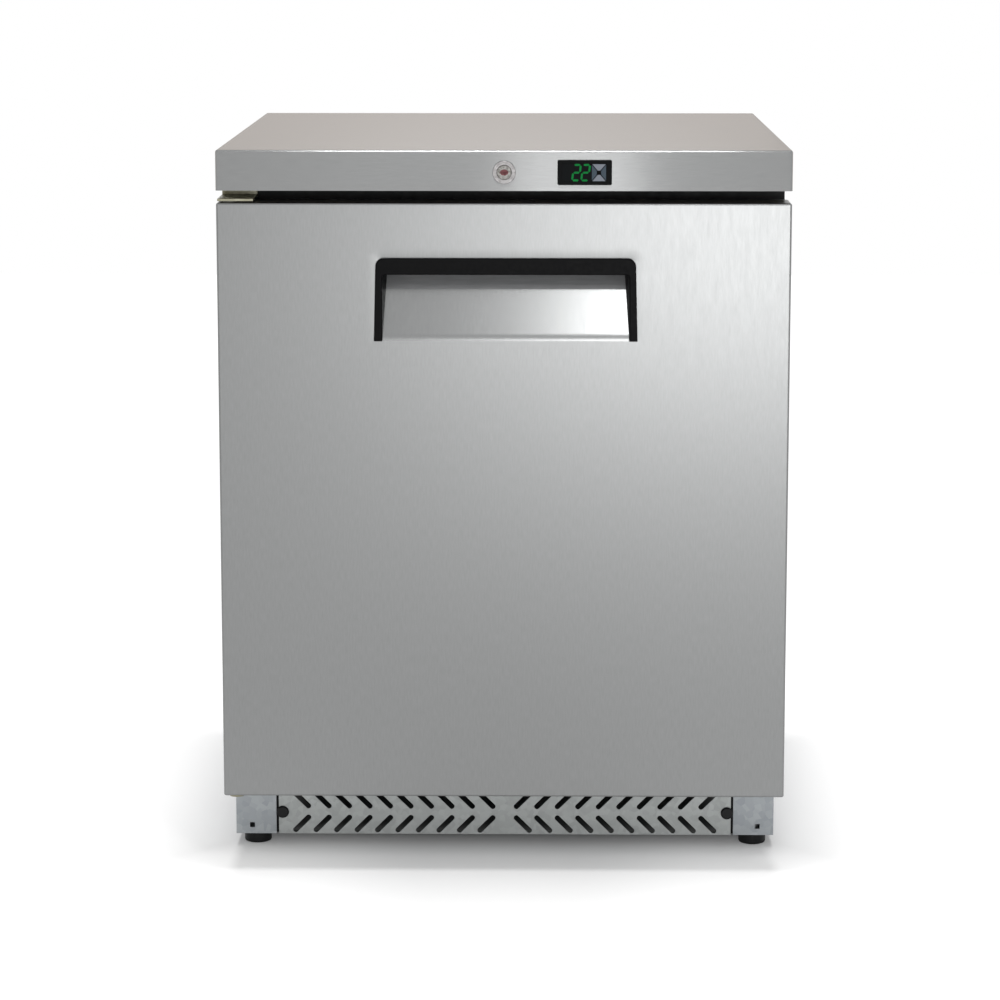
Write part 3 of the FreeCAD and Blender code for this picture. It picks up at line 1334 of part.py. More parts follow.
def fan_wheel(hub, tip, depth, shaft_length):
    """A fan of twisted blades along +Z from z = 0, with a blind bore for its shaft."""
    wheel = rod(hub, Vector(0, 0, 0), Vector(0, 0, depth))
    root, middle = hub - FAN_BLADE_SUNK, depth / 2
    for i in range(FAN_BLADES):
        sections = []
        for radius, pitch in ((root, FAN_ROOT_PITCH), (tip, FAN_TIP_PITCH)):
            lean = math.radians(pitch)
            chord = min(FAN_CHORD_SHARE * radius, FAN_DEPTH_SHARE * depth / math.sin(lean))
            along = Vector(0, math.cos(lean), math.sin(lean)) * (chord / 2)
            thick = Vector(0, -math.sin(lean), math.cos(lean)) * (FAN_BLADE / 2)
            centre = Vector(radius, 0, middle)
            corners = [centre - along - thick, centre + along - thick]
            corners += [centre + along + thick, centre - along + thick]
            sections.append(Part.makePolygon(corners + corners[:1]))
        blade = Part.makeLoft(sections, True, True)
        blade.rotate(Vector(0, 0, 0), Vector(0, 0, 1), 360.0 * i / FAN_BLADES)
        wheel = wheel.fuse(blade)
    inside = rod(tip, Vector(0, 0, 0), Vector(0, 0, depth))
    bore = rod(
        FAN_SHAFT_DIAMETER / 2 + RUNNING_FIT, Vector(0, 0, 0), Vector(0, 0, shaft_length + CLEARANCE)
    )
    return wheel.common(inside).cut(bore).removeSplitter()


def turned(shape, place, axis):
    """A shape drawn along +Z, moved to a place and turned to an axis."""
    moved = shape.copy()
    moved.Placement = Placement(place, Rotation(Vector(0, 0, 1), axis))
    return moved


def evaporator_fan_frame():
    """Square fan frame behind the cover, with its motor on four struts."""
    x, z = evaporator_fan_middle()
    half = FAN_FRAME / 2
    front = COVER_FRONT + COVER_SHEET
    back = front + FAN_FRAME_DEPTH
    frame = block((x - half, x + half), (front, back), (z - half, z + half))
    frame = frame.cut(rod(FAN_BORE / 2, Vector(x, front, z), Vector(x, back, z)))
    motor_front = back - FAN_MOTOR_LENGTH
    motor = rod(FAN_HUB_RADIUS, Vector(x, motor_front, z), Vector(x, back, z))
    strut = (back - FAN_STRUT, back)
    cross = block((x - half, x + half), strut, (z - FAN_STRUT / 2, z + FAN_STRUT / 2))
    cross = cross.fuse(block((x - FAN_STRUT / 2, x + FAN_STRUT / 2), strut, (z - half, z + half)))
    shaft_end = evaporator_fan_back() - evaporator_shaft_length()
    shaft = rod(FAN_SHAFT_DIAMETER / 2, Vector(x, shaft_end, z), Vector(x, motor_front, z))
    return frame.fuse(motor).fuse(cross).fuse(shaft).removeSplitter()


def evaporator_fan_back():
    """y of the rear of the evaporator fan's wheel."""
    return COVER_FRONT + COVER_SHEET + FAN_FRAME_DEPTH - FAN_MOTOR_LENGTH - CLEARANCE


def evaporator_wheel_depth():
    """Length of the evaporator fan's wheel."""
    return FAN_FRAME_DEPTH - FAN_MOTOR_LENGTH - 2 * CLEARANCE - FAN_BLADE_GAP


def evaporator_shaft_length():
    """How far the evaporator fan's shaft reaches into its wheel."""
    return evaporator_wheel_depth() * FAN_SHAFT_SHARE


def evaporator_fan_blades():
    """Wheel of the evaporator fan."""
    x, z = evaporator_fan_middle()
    tip = FAN_BORE / 2 - FAN_BLADE_GAP
    wheel = fan_wheel(FAN_HUB_RADIUS, tip, evaporator_wheel_depth(), evaporator_shaft_length())
    return turned(wheel, Vector(x, evaporator_fan_back(), z), Vector(0, -1, 0))


def finned_core(x, y, z, fin, pitch, core):
    """Fins across x, held by a band of tubes through the middle of their depth."""
    middle = (y[0] + y[1]) / 2
    points = [(x[0], middle - core / 2)]
    count = int((x[1] - x[0] - fin) / pitch)
    start = x[0] + ((x[1] - x[0]) - (count * pitch + fin)) / 2
    places = [start + i * pitch for i in range(count + 1)]
    for left in places:
        points += [(left, middle - core / 2), (left, y[0])]
        points += [(left + fin, y[0]), (left + fin, middle - core / 2)]
    points.append((x[1], middle - core / 2))
    points.append((x[1], middle + core / 2))
    for left in reversed(places):
        points += [(left + fin, middle + core / 2), (left + fin, y[1])]
        points += [(left, y[1]), (left, middle + core / 2)]
    points.append((x[0], middle + core / 2))
    clean = [points[0]]
    for point in points[1:]:
        if math.dist(point, clean[-1]) > 1e-6:
            clean.append(point)
    return plan(clean, z)


def tube_bend(x, y, low, high, side, diameter):
    """A return bend: two short tubes joined outside an end plate, towards +X or -X."""
    radius = (high - low) / 2
    turn_x = x + side * TUBE_BEND_STRAIGHT
    far = Vector(turn_x + side * radius, y, (low + high) / 2)
    path = [
        Part.LineSegment(Vector(x, y, low), Vector(turn_x, y, low)),
        Part.Arc(Vector(turn_x, y, low), far, Vector(turn_x, y, high)),
        Part.LineSegment(Vector(turn_x, y, high), Vector(x, y, high)),
    ]
    circle = Part.Circle(Vector(x, y, low), Vector(side, 0, 0), diameter / 2)
    wire = Part.Wire([run.toShape() for run in path])
    return wire.makePipeShell([Part.Wire(circle.toShape())], True, False)


def evaporator_coil():
    """Finned coil on two end plates, with the tubes' return bends outside them."""
    half = COIL_WIDTH / 2
    low = STEP_TOP + COIL_UP
    z = (low, low + COIL_HEIGHT)
    y = (CAVITY_REAR - COIL_DEPTH, CAVITY_REAR)
    fins = finned_core(
        (-half + COIL_PLATE, half - COIL_PLATE),
        (y[0] + COIL_PLATE, y[1] - COIL_PLATE),
        z,
        COIL_FIN,
        COIL_FIN_PITCH,
        COIL_TUBE_DIAMETER,
    )
    coil = fins
    for side in (-1, 1):
        coil = coil.fuse(block(sorted((side * half, side * (half - COIL_PLATE))), y, z))
    middle = (y[0] + y[1]) / 2
    pitch = COIL_HEIGHT / (2 * COIL_PASSES)
    for i in range(COIL_PASSES):
        first = low + pitch / 2 + 2 * i * pitch
        coil = coil.fuse(tube_bend(half, middle, first, first + pitch, 1, COIL_TUBE_DIAMETER))
        if i:
            coil = coil.fuse(tube_bend(-half, middle, first - pitch, first, -1, COIL_TUBE_DIAMETER))
    return coil.removeSplitter()


def drip_tray():
    """Tray under the coil, on the step, and the drain from it to the pan below."""
    half = COVER_WIDTH / 2 - COVER_SHEET
    y = (COVER_FRONT + COVER_SHEET, CAVITY_REAR)
    outer = block((-half, half), y, (STEP_TOP, STEP_TOP + DRIP_TRAY_DEPTH))
    hollow = block(
        (-half + DRIP_TRAY_WALL, half - DRIP_TRAY_WALL),
        (y[0] + DRIP_TRAY_WALL, y[1] - DRIP_TRAY_WALL),
        (STEP_TOP + DRIP_TRAY_WALL, STEP_TOP + DRIP_TRAY_DEPTH),
    )
    low = Vector(DRAIN_X, DRAIN_Y, TRAY_FLOOR + PAN_WALL + DRAIN_ABOVE_TRAY_FLOOR)
    tube = rod(DRAIN_DIAMETER / 2, low, Vector(DRAIN_X, DRAIN_Y, STEP_TOP))
    bore = rod(
        DRAIN_DIAMETER / 2 - DRAIN_WALL, low, Vector(DRAIN_X, DRAIN_Y, STEP_TOP + DRIP_TRAY_WALL)
    )
    return outer.cut(hollow).fuse(tube).cut(bore).removeSplitter()


def temperature_probe():
    """Probe capsule lying in a clip on the cover."""
    radius = PROBE_DIAMETER / 2
    z = COVER_TOP - PROBE_UP
    y = COVER_FRONT - radius - PROBE_GAP
    capsule = rod(radius, Vector(PROBE_X, y, z), Vector(PROBE_X, y, z + PROBE_LENGTH))
    middle = z + PROBE_LENGTH / 2
    clip = block(
        (PROBE_X - PROBE_CLIP_WIDTH / 2, PROBE_X + PROBE_CLIP_WIDTH / 2),
        (y, COVER_FRONT),
        (middle - PROBE_CLIP_HEIGHT / 2, middle + PROBE_CLIP_HEIGHT / 2),
    )
    return [capsule, clip.cut(capsule)]


# ---- Machine space -------------------------------------------------------------
def compressor_y():
    """y of the compressor's middle."""
    return CABINET_REAR - COMPRESSOR_FROM_REAR


def compressor_bottom():
    """Underside of the compressor's feet."""
    return TRAY_FLOOR + MOUNT_HEIGHT


def mount_places():
    """(x, y) of the four rubber mounts."""
    for side_x in (-1, 1):
        for side_y in (-1, 1):
            yield COMPRESSOR_X + side_x * MOUNT_REACH, compressor_y() + side_y * MOUNT_REACH


def compressor():
    """Welded steel pot with a lip round its middle, on a foot plate, with its terminal box."""
    low = compressor_bottom()
    body_low = low + COMPRESSOR_FOOT
    top = low + COMPRESSOR_HEIGHT
    radius, dome, seam = COMPRESSOR_RADIUS, COMPRESSOR_DOME, COMPRESSOR_SEAM
    middle = body_low + COMPRESSOR_SEAM_UP
    shoulder = radius - COMPRESSOR_LAP
    sag = dome * (1 - math.sqrt(0.5))
    edges = [
        Part.LineSegment(Vector(0, 0, body_low), Vector(radius - dome, 0, body_low)),
        Part.Arc(
            Vector(radius - dome, 0, body_low),
            Vector(radius - sag, 0, body_low + sag),
            Vector(radius, 0, body_low + dome),
        ),
        Part.LineSegment(Vector(radius, 0, body_low + dome), Vector(radius, 0, middle)),
        Part.LineSegment(Vector(radius, 0, middle), Vector(radius + seam, 0, middle)),
        Part.LineSegment(Vector(radius + seam, 0, middle), Vector(radius + seam, 0, middle + seam)),
        Part.LineSegment(Vector(radius + seam, 0, middle + seam), Vector(shoulder, 0, middle + seam)),
        Part.LineSegment(Vector(shoulder, 0, middle + seam), Vector(shoulder, 0, top - dome)),
        Part.Arc(
            Vector(shoulder, 0, top - dome),
            Vector(shoulder - sag, 0, top - sag),
            Vector(shoulder - dome, 0, top),
        ),
        Part.LineSegment(Vector(shoulder - dome, 0, top), Vector(0, 0, top)),
        Part.LineSegment(Vector(0, 0, top), Vector(0, 0, body_low)),
    ]
    face = Part.Face(Part.Wire([edge.toShape() for edge in edges]))
    pot = face.revolve(Vector(0, 0, 0), Vector(0, 0, 1), 360)
    hollow_low = Vector(0, 0, body_low + COMPRESSOR_WALL)
    hollow = rod(radius - COMPRESSOR_SIDE_WALL, hollow_low, Vector(0, 0, top - COMPRESSOR_WALL))
    pot = pot.cut(hollow)
    pot.translate(Vector(COMPRESSOR_X, compressor_y(), 0))
    places = list(mount_places())
    xs, ys = [p[0] for p in places], [p[1] for p in places]
    rim = MOUNT_DIAMETER / 2
    foot_plate = block(
        (min(xs) - rim, max(xs) + rim), (min(ys) - rim, max(ys) + rim), (low, body_low)
    )
    corners = edges_where(foot_plate, lambda p, e: runs_along(e, Vector(0, 0, 1)))
    foot_plate = foot_plate.makeFillet(rim, corners)
    box_x = COMPRESSOR_X - COMPRESSOR_RADIUS
    terminal_low = body_low + dome
    terminal = block(
        (box_x - TERMINAL_BOX_DEPTH, box_x + TERMINAL_BOX_DEPTH),
        (compressor_y() - TERMINAL_BOX / 2, compressor_y() + TERMINAL_BOX / 2),
        (terminal_low, terminal_low + TERMINAL_BOX),
    )
    whole = pot.fuse(foot_plate).removeSplitter()
    return [whole, terminal.cut(whole)]


def compressor_mounts():
    """Rubber mounts under the compressor's feet."""
    mounts = []
    for x, y in mount_places():
        mounts.append(
            rod(MOUNT_DIAMETER / 2, Vector(x, y, TRAY_FLOOR), Vector(x, y, compressor_bottom()))
        )
    return mounts


def condenser_box():
    """(x, y, z) pairs of the condenser's block."""
    rear = CABINET_REAR - CONDENSER_FROM_REAR
    low = TRAY_FLOOR + CONDENSER_LEG
    right = RAIL_INNER - CONDENSER_FROM_RAIL
    return (
        (right - CONDENSER_THICKNESS, right),
        (rear - CONDENSER_WIDTH, rear),
        (low, low + CONDENSER_HEIGHT),
    )


def condenser_row(row):
    """Height of one of the condenser's tubes, counted from the lowest."""
    z = condenser_box()[2]
    return z[0] + CONDENSER_HEIGHT * (row + 0.5) / CONDENSER_ROWS


def condenser():
    """Finned condenser between two end plates that stand on the tray."""
    x, y, z = condenser_box()
    plate = COIL_PLATE
    core = finned_core(
        (y[0] + plate, y[1] - plate), (x[0], x[1]), z, CONDENSER_FIN, CONDENSER_FIN_PITCH, CONDENSER_CORE
    )
    # The fins are drawn across x and turned to stand across y.
    core.rotate(Vector(0, 0, 0), Vector(0, 0, 1), 90)
    core.translate(Vector(x[0] + x[1], 0, 0))
    whole = core
    for end in (y[0], y[1] - plate):
        whole = whole.fuse(block(x, (end, end + plate), (TRAY_FLOOR, z[1])))
    middle = (x[0] + x[1]) / 2
    for row in range(CONDENSER_ROWS - 1):
        ends = condenser_row(row), condenser_row(row + 1)
        bend = tube_bend(0, 0, *ends, 1, PIPE_DIAMETER)
        bend.rotate(Vector(0, 0, 0), Vector(0, 0, 1), -90 if row % 2 else 90)
        bend.translate(Vector(middle, y[0] if row % 2 else y[1], 0))
        whole = whole.fuse(bend)
    return whole.removeSplitter()


def condenser_fan_middle():
    """(y, z) of the condenser fan."""
    _, y, z = condenser_box()
    return (y[0] + y[1]) / 2, (z[0] + z[1]) / 2


def condenser_shroud():
    """Plate on the condenser's face, with a ring round the fan."""
    x, y, z = condenser_box()
    fan_y, fan_z = condenser_fan_middle()
    plate_x = (x[0] - SHROUD_SHEET, x[0])
    plate = block(plate_x, y, z)
    ring_start = Vector(x[0] - SHROUD_RING_DEPTH, fan_y, fan_z)
    ring = rod(SHROUD_BORE_RADIUS + SHROUD_SHEET, ring_start, Vector(x[0], fan_y, fan_z))
    bore = rod(SHROUD_BORE_RADIUS, ring_start, Vector(x[0], fan_y, fan_z))
    return plate.fuse(ring).cut(bore).removeSplitter()


def condenser_motor_front():
    """x of the face of the condenser fan's motor that the wheel turns at."""
    x = condenser_box()[0][0]
    return x - CONDENSER_FAN_DEPTH - CONDENSER_FAN_GAP - CLEARANCE


def condenser_fan_motor():
    """Motor on a three-legged bracket that bolts to the shroud's ring."""
    fan_y, fan_z = condenser_fan_middle()
    shroud_x = condenser_box()[0][0]
    front = condenser_motor_front()
    back = front - CONDENSER_MOTOR_LENGTH
    motor = rod(CONDENSER_MOTOR_RADIUS, Vector(back, fan_y, fan_z), Vector(front, fan_y, fan_z))
    shaft_end = front + CLEARANCE + CONDENSER_FAN_DEPTH * FAN_SHAFT_SHARE
    shaft = rod(
        FAN_SHAFT_DIAMETER / 2, Vector(front, fan_y, fan_z), Vector(shaft_end, fan_y, fan_z)
    )
    whole = motor.fuse(shaft)
    leg, ring = CONDENSER_MOTOR_LEG, SHROUD_BORE_RADIUS + SHROUD_SHEET
    arm_x = (front - 2 * leg, front - leg)
    for i in range(3):
        arm = block(
            arm_x, (fan_y - leg / 2, fan_y + leg / 2), (fan_z, fan_z + ring + leg)
        )
        post = block(
            (arm_x[0], shroud_x - SHROUD_SHEET),
            (fan_y - leg / 2, fan_y + leg / 2),
            (fan_z + math.hypot(ring, leg / 2), fan_z + ring + leg),
        )
        spoke = arm.fuse(post)
        spoke.rotate(Vector(0, fan_y, fan_z), Vector(1, 0, 0), 120.0 * i)
        whole = whole.fuse(spoke)
    return whole.removeSplitter()


def condenser_fan_blades():
    """Wheel of the condenser fan."""
    fan_y, fan_z = condenser_fan_middle()
    wheel = fan_wheel(
        CONDENSER_FAN_HUB_RADIUS,
        SHROUD_BORE_RADIUS - CONDENSER_FAN_GAP,
        CONDENSER_FAN_DEPTH,
        CONDENSER_FAN_DEPTH * FAN_SHAFT_SHARE,
    )
    place = Vector(condenser_motor_front() + CLEARANCE, fan_y, fan_z)
    return turned(wheel, place, Vector(1, 0, 0))


def refrigerant_pipes():
    """Discharge and suction lines, and the liquid line's filter drier."""
    low = compressor_bottom() + PIPE_UP
    x, y, _ = condenser_box()
    thin, wide = THIN_PIPE_DIAMETER / 2, PIPE_DIAMETER / 2
    side_x = COMPRESSOR_X + COMPRESSOR_RADIUS
    out_y = compressor_y() - PIPE_OFF_MIDDLE
    bend = PIPE_BEND
    inlet_z = condenser_row(CONDENSER_ROWS - 1)
    middle = (x[0] + x[1]) / 2
    front_y = MACHINE_FRONT + DRIER_DIAMETER
    discharge = pipe(
        [
            Vector(side_x - bend, out_y, low),
            Vector(side_x + bend, out_y, low),
            Vector(side_x + bend, front_y, low),
            Vector(side_x + bend, front_y, inlet_z),
            Vector(middle, front_y, inlet_z),
            Vector(middle, y[0], inlet_z),
        ],
        2 * thin,
        bend / 2,
    )
    suction_x = COMPRESSOR_X - PIPE_OFF_MIDDLE
    suction_y = compressor_y() + COMPRESSOR_RADIUS + bend
    suction_z = low + 2 * bend
    suction = pipe(
        [
            Vector(suction_x, suction_y - 2 * bend, suction_z),
            Vector(suction_x, suction_y, suction_z),
            Vector(suction_x, suction_y, MACHINE_TOP - bend),
            Vector(suction_x, compressor_y(), MACHINE_TOP - bend),
            Vector(suction_x, compressor_y(), MACHINE_TOP),
        ],
        2 * wide,
        bend / 2,
    )
    outlet_z = condenser_row(0)
    drier_low = outlet_z + 2 * bend
    drier_x, drier_y = middle - 3 * bend, front_y
    drier = rod(
        DRIER_DIAMETER / 2,
        Vector(drier_x, drier_y, drier_low),
        Vector(drier_x, drier_y, drier_low + DRIER_LENGTH),
    )
    ends = edges_where(drier, lambda p, e: len(e.Vertexes) == 1)
    drier = drier.makeChamfer(DRIER_CHAMFER, ends)
    liquid = pipe(
        [
            Vector(middle, y[0], outlet_z),
            Vector(middle, front_y, outlet_z),
            Vector(drier_x, front_y, outlet_z),
            Vector(drier_x, front_y, drier_low),
        ],
        2 * thin,
        bend / 2,
    )
    pot = compressor()[0]
    return [discharge.cut(pot), suction.cut(pot), liquid, drier]


def evaporation_tray():
    """Plastic pan that catches the drain's water."""
    middle = DRAIN_Y - PAN_SHIFT
    x = (PAN_LEFT, PAN_LEFT + PAN_WIDTH)
    y = (middle - PAN_DEPTH / 2, middle + PAN_DEPTH / 2)
    z = (TRAY_FLOOR, TRAY_FLOOR + PAN_HEIGHT)
    hollow = block(
        (x[0] + PAN_WALL, x[1] - PAN_WALL), (y[0] + PAN_WALL, y[1] - PAN_WALL), (z[0] + PAN_WALL, z[1])
    )
    outer = block(x, y, z)
    corners = edges_where(outer, lambda p, e: runs_along(e, Vector(0, 0, 1)))
    inner = edges_where(hollow, lambda p, e: runs_along(e, Vector(0, 0, 1)))
    hollow = hollow.makeFillet(PAN_CORNER_RADIUS - PAN_WALL, inner)
    return outer.makeFillet(PAN_CORNER_RADIUS, corners).cut(hollow)


def electrical_box():
    """Box of relays and terminals, hung from the machine space's front wall."""
    left = -CABINET_X + CABINET_SKIN + ELECTRICAL_BOX_FROM_SIDE
    box = block(
        (left, left + ELECTRICAL_BOX_WIDTH),
        (MACHINE_FRONT, MACHINE_FRONT + ELECTRICAL_BOX_DEPTH),
        (MACHINE_TOP - ELECTRICAL_BOX_HEIGHT, MACHINE_TOP),
    )
    corners = edges_where(
        box, lambda p, e: runs_along(e, Vector(0, 1, 0)) and p.z < MACHINE_TOP - 1
    )
    return box.makeFillet(ELECTRICAL_BOX_RADIUS, corners)


def gland_point(y):
    """A point on the cable gland's axis."""
    return Vector(-CABINET_X + GLAND_FROM_SIDE, y, CABINET_BOTTOM + GLAND_UP)


def rear_grille():
    """Slotted sheet over the machine space, with its six screws."""
    inside = CABINET_X - CABINET_SKIN
    y = (REAR_INSIDE, CABINET_REAR - CABINET_SKIN)
    low, top = CABINET_BOTTOM, MACHINE_TOP - REAR_GRILLE_TOP_GAP
    sheet = block((-inside, inside), y, (low, top))
    skirt = block((-RAIL_INNER, RAIL_INNER), y, (FOOT_HEIGHT + TRAY_FLANGE, low))
    sheet = sheet.fuse(skirt)
    slots = []
    rows_height = (REAR_SLOT_ROWS - 1) * REAR_SLOT_PITCH
    first_z = (low + top - rows_height) / 2
    for column in range(REAR_SLOT_COLUMNS):
        x = REAR_SLOT_SHIFT + (column - (REAR_SLOT_COLUMNS - 1) / 2) * REAR_SLOT_COLUMN_PITCH
        for row in range(REAR_SLOT_ROWS):
            z = first_z + row * REAR_SLOT_PITCH
            slot_x = (x - REAR_SLOT_LENGTH / 2, x + REAR_SLOT_LENGTH / 2)
            slots.append(block(slot_x, y, (z - REAR_SLOT_HEIGHT / 2, z + REAR_SLOT_HEIGHT / 2)))
    hole = rod(GLAND_BODY_DIAMETER / 2, gland_point(y[0]), gland_point(y[1]))
    sheet = sheet.cut(Part.makeCompound(slots)).cut(hole).removeSplitter()
    screws = []
    screw_x = CABINET_X - REAR_FLANGE / 2
    for side in (-1, 1):
        for z in (low + REAR_SCREW_FROM_END, (low + top) / 2, top - REAR_SCREW_FROM_END):
            start = Vector(side * screw_x, CABINET_REAR, z)
            end = Vector(side * screw_x, CABINET_REAR + REAR_SCREW_HEAD_HEIGHT, z)
            screws.append(rod(REAR_SCREW_HEAD / 2, start, end))
    return [sheet] + screws


def cable_gland():
    """Gland where the supply lead enters."""
    outside = CABINET_REAR - CABINET_SKIN
    body = rod(
        GLAND_BODY_DIAMETER / 2,
        gland_point(REAR_INSIDE - GLAND_IN),
        gland_point(outside + GLAND_OUT),
    )
    nut = hexagon(GLAND_NUT_WIDTH, gland_point(outside), gland_point(outside + GLAND_NUT_LENGTH))
    lock_nut = hexagon(
        GLAND_NUT_WIDTH, gland_point(REAR_INSIDE - GLAND_NUT_LENGTH), gland_point(REAR_INSIDE)
    )
    bore = rod(
        GLAND_BORE / 2, gland_point(REAR_INSIDE - GLAND_IN), gland_point(outside + GLAND_OUT)
    )
    return body.fuse(nut).fuse(lock_nut).cut(bore).removeSplitter()


# ---- The whole refrigerator ------------------------------------------------------------------------------
def main():
    """Write every sub-part."""
    os.makedirs("parts", exist_ok=True)

    save("worktop_skin", worktop_skin())
    save("worktop_core", worktop_core())
    save("side_panel_left", side_panel(-1))
    save("side_panel_right", side_panel(1))
    save("rear_panel", rear_panel())
    save("underside_pan", underside_pan())
    save("front_frame", front_frame())
    save("breaker_strip", breaker_strip())
    save("insulation", insulation())
    save("inner_liner", inner_liner())

    save("base_rail_left", *base_rail(-1))
    save("base_rail_right", *base_rail(1))
    save("front_grille", front_grille())
    save("grille_screws", *grille_screws())
    save("compressor_tray", compressor_tray())
    for name, x, y in foot_places():
        save(name, foot(x, y))

    save("door_skin", door_skin())
    save("door_foam", door_foam())
    save("door_liner", door_liner())
    save("door_gasket", door_gasket())
    save("door_bearings", *door_bearings())
    save("lock_strike", lock_strike())
    save("handle_bezel", handle_bezel())
    save("handle_scoop", handle_scoop())
    save("hinge_top_bracket", *hinge_top_bracket())
    save("hinge_bottom_bracket", *hinge_bottom_bracket())

    save("lock_housing", *lock_housing())
    save("lock_barrel", lock_barrel())
    save("lock_cam", *lock_cam())
    save("controller_case", controller_case())
    save("controller_window", controller_window())
    save("key_up", key((1, 0), (0, 1)))
    save("key_down", key((1, 0), (0, -1)))
    save("key_left", key((0, 1), (-1, 0)))
    save("key_right", key((0, 1), (1, 0)))

    pilasters, clips = [], []
    shelves = (LOWER_SHELF_Z, LOWER_SHELF_Z + SHELF_SPACING)
    for side in (-1, 1):
        for y in pilaster_ys():
            pilasters.append(pilaster(side, y))
            clips += [shelf_clip(side, y, z) for z in shelves]
    save("shelf_pilasters", *pilasters)
    save("shelf_clips", *clips)
    save("shelf_lower", *wire_shelf(shelves[0]))
    save("shelf_upper", *wire_shelf(shelves[1]))
    save("evaporator_cover", evaporator_cover())
    save("evaporator_coil", evaporator_coil())
    save("evaporator_fan_frame", evaporator_fan_frame())
    save("evaporator_fan_blades", evaporator_fan_blades())
    save("drip_tray", drip_tray())
    save("temperature_probe", *temperature_probe())

    save("compressor", *compressor())
    save("compressor_mounts", *compressor_mounts())
    save("condenser", condenser())
    save("condenser_shroud", condenser_shroud())
    save("condenser_fan_motor", condenser_fan_motor())
    save("condenser_fan_blades", condenser_fan_blades())
    save("refrigerant_pipes", *refrigerant_pipes())
    save("evaporation_tray", evaporation_tray())
    save("electrical_box", electrical_box())
    save("rear_grille", *rear_grille())
    save("cable_gland", cable_gland())


main()
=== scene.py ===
import json
import math

import bmesh
import bpy
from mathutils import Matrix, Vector


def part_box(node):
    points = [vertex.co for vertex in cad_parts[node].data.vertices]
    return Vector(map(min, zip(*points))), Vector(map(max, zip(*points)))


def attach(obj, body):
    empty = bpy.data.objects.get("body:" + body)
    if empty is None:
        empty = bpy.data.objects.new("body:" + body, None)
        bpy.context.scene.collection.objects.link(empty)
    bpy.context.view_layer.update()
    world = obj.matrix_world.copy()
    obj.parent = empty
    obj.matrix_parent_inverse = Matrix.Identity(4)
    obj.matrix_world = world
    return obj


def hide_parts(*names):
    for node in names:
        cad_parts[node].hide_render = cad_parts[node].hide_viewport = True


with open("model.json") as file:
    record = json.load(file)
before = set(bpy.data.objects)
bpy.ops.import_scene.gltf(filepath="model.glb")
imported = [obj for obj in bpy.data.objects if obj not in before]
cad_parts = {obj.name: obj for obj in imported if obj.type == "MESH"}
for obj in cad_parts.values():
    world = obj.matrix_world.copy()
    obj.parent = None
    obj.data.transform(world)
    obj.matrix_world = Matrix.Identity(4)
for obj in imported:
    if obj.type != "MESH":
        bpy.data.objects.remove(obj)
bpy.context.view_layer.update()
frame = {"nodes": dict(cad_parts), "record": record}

# An undercounter refrigerator with one solid door, in metres.
# The door faces -Y and Z is up.

# ---- Base rails, compressor tray and kick plate
# Two folded box rails of galvanised sheet carry the cabinet, their closed front ends the
# corner posts, with a pressed tray between them. Two screws hold the slotted kick plate,
# and a thin black strip at each of its ends is painted shade in the seam by the post.
BODY_OF = {n: b for b, group in frame["record"]["behaviour"]["bodies"].items() for n in group}
SLOT_OF = {row["node"]: row["material_slot"] for row in frame["record"]["subparts"]}


def tone(red, green, blue):
    """A colour as the photograph shows it, 0 to 255, in the shader's linear numbers."""
    parts = [c / 255 for c in (red, green, blue)]
    return tuple(c / 12.92 if c < 0.04 else ((c + 0.055) / 1.055) ** 2.4 for c in parts)


def look(name, colour, roughness, metallic=0.0, specular=0.5):
    """A plain material, to which the calls that follow add the surface's detail."""
    made = bpy.data.materials.new(name)
    made.use_nodes = True
    skin = made.node_tree.nodes["Principled BSDF"]
    skin.inputs["Base Color"].default_value = (*colour, 1)
    skin.inputs["Roughness"].default_value = roughness
    skin.inputs["Metallic"].default_value = metallic
    skin.inputs["Specular IOR Level"].default_value = specular
    return made


def noise(made, waves, detail=3.0, source="Object"):
    """Noise with so many waves a metre along each axis."""
    tree = made.node_tree
    where = tree.nodes.new("ShaderNodeTexCoord")
    fit = tree.nodes.new("ShaderNodeMapping")
    fit.inputs["Scale"].default_value = waves
    grain = tree.nodes.new("ShaderNodeTexNoise")
    grain.inputs["Scale"].default_value = 1.0
    grain.inputs["Detail"].default_value = detail
    tree.links.new(where.outputs[source], fit.inputs["Vector"])
    tree.links.new(fit.outputs["Vector"], grain.inputs["Vector"])
    return grain.outputs["Fac"]


def spangle(made, waves):
    """Crystal patches with so many to the metre, each of one even value."""
    tree = made.node_tree
    where = tree.nodes.new("ShaderNodeTexCoord")
    cells = tree.nodes.new("ShaderNodeTexVoronoi")
    cells.inputs["Scale"].default_value = waves
    tree.links.new(where.outputs["Object"], cells.inputs["Vector"])
    split = tree.nodes.new("ShaderNodeSeparateColor")
    tree.links.new(cells.outputs["Color"], split.inputs["Color"])
    return split.outputs["Red"]


def tint(made, signal, dark, light, low=0.3, high=0.7):
    """The colour runs from dark to light with a signal."""
    tree = made.node_tree
    ramp = tree.nodes.new("ShaderNodeValToRGB")
    ends = ramp.color_ramp.elements
    ends[0].position, ends[0].color = low, (*dark, 1)
    ends[1].position, ends[1].color = high, (*light, 1)
    tree.links.new(signal, ramp.inputs["Fac"])
    tree.links.new(ramp.outputs["Color"], tree.nodes["Principled BSDF"].inputs["Base Color"])


def gloss(made, signal, low, high):
    """The roughness runs between two values with a signal."""
    tree = made.node_tree
    span = tree.nodes.new("ShaderNodeMapRange")
    span.inputs["From Min"].default_value = 0.3
    span.inputs["From Max"].default_value = 0.7
    span.inputs["To Min"].default_value = low
    span.inputs["To Max"].default_value = high
    tree.links.new(signal, span.inputs["Value"])
    tree.links.new(span.outputs["Result"], tree.nodes["Principled BSDF"].inputs["Roughness"])


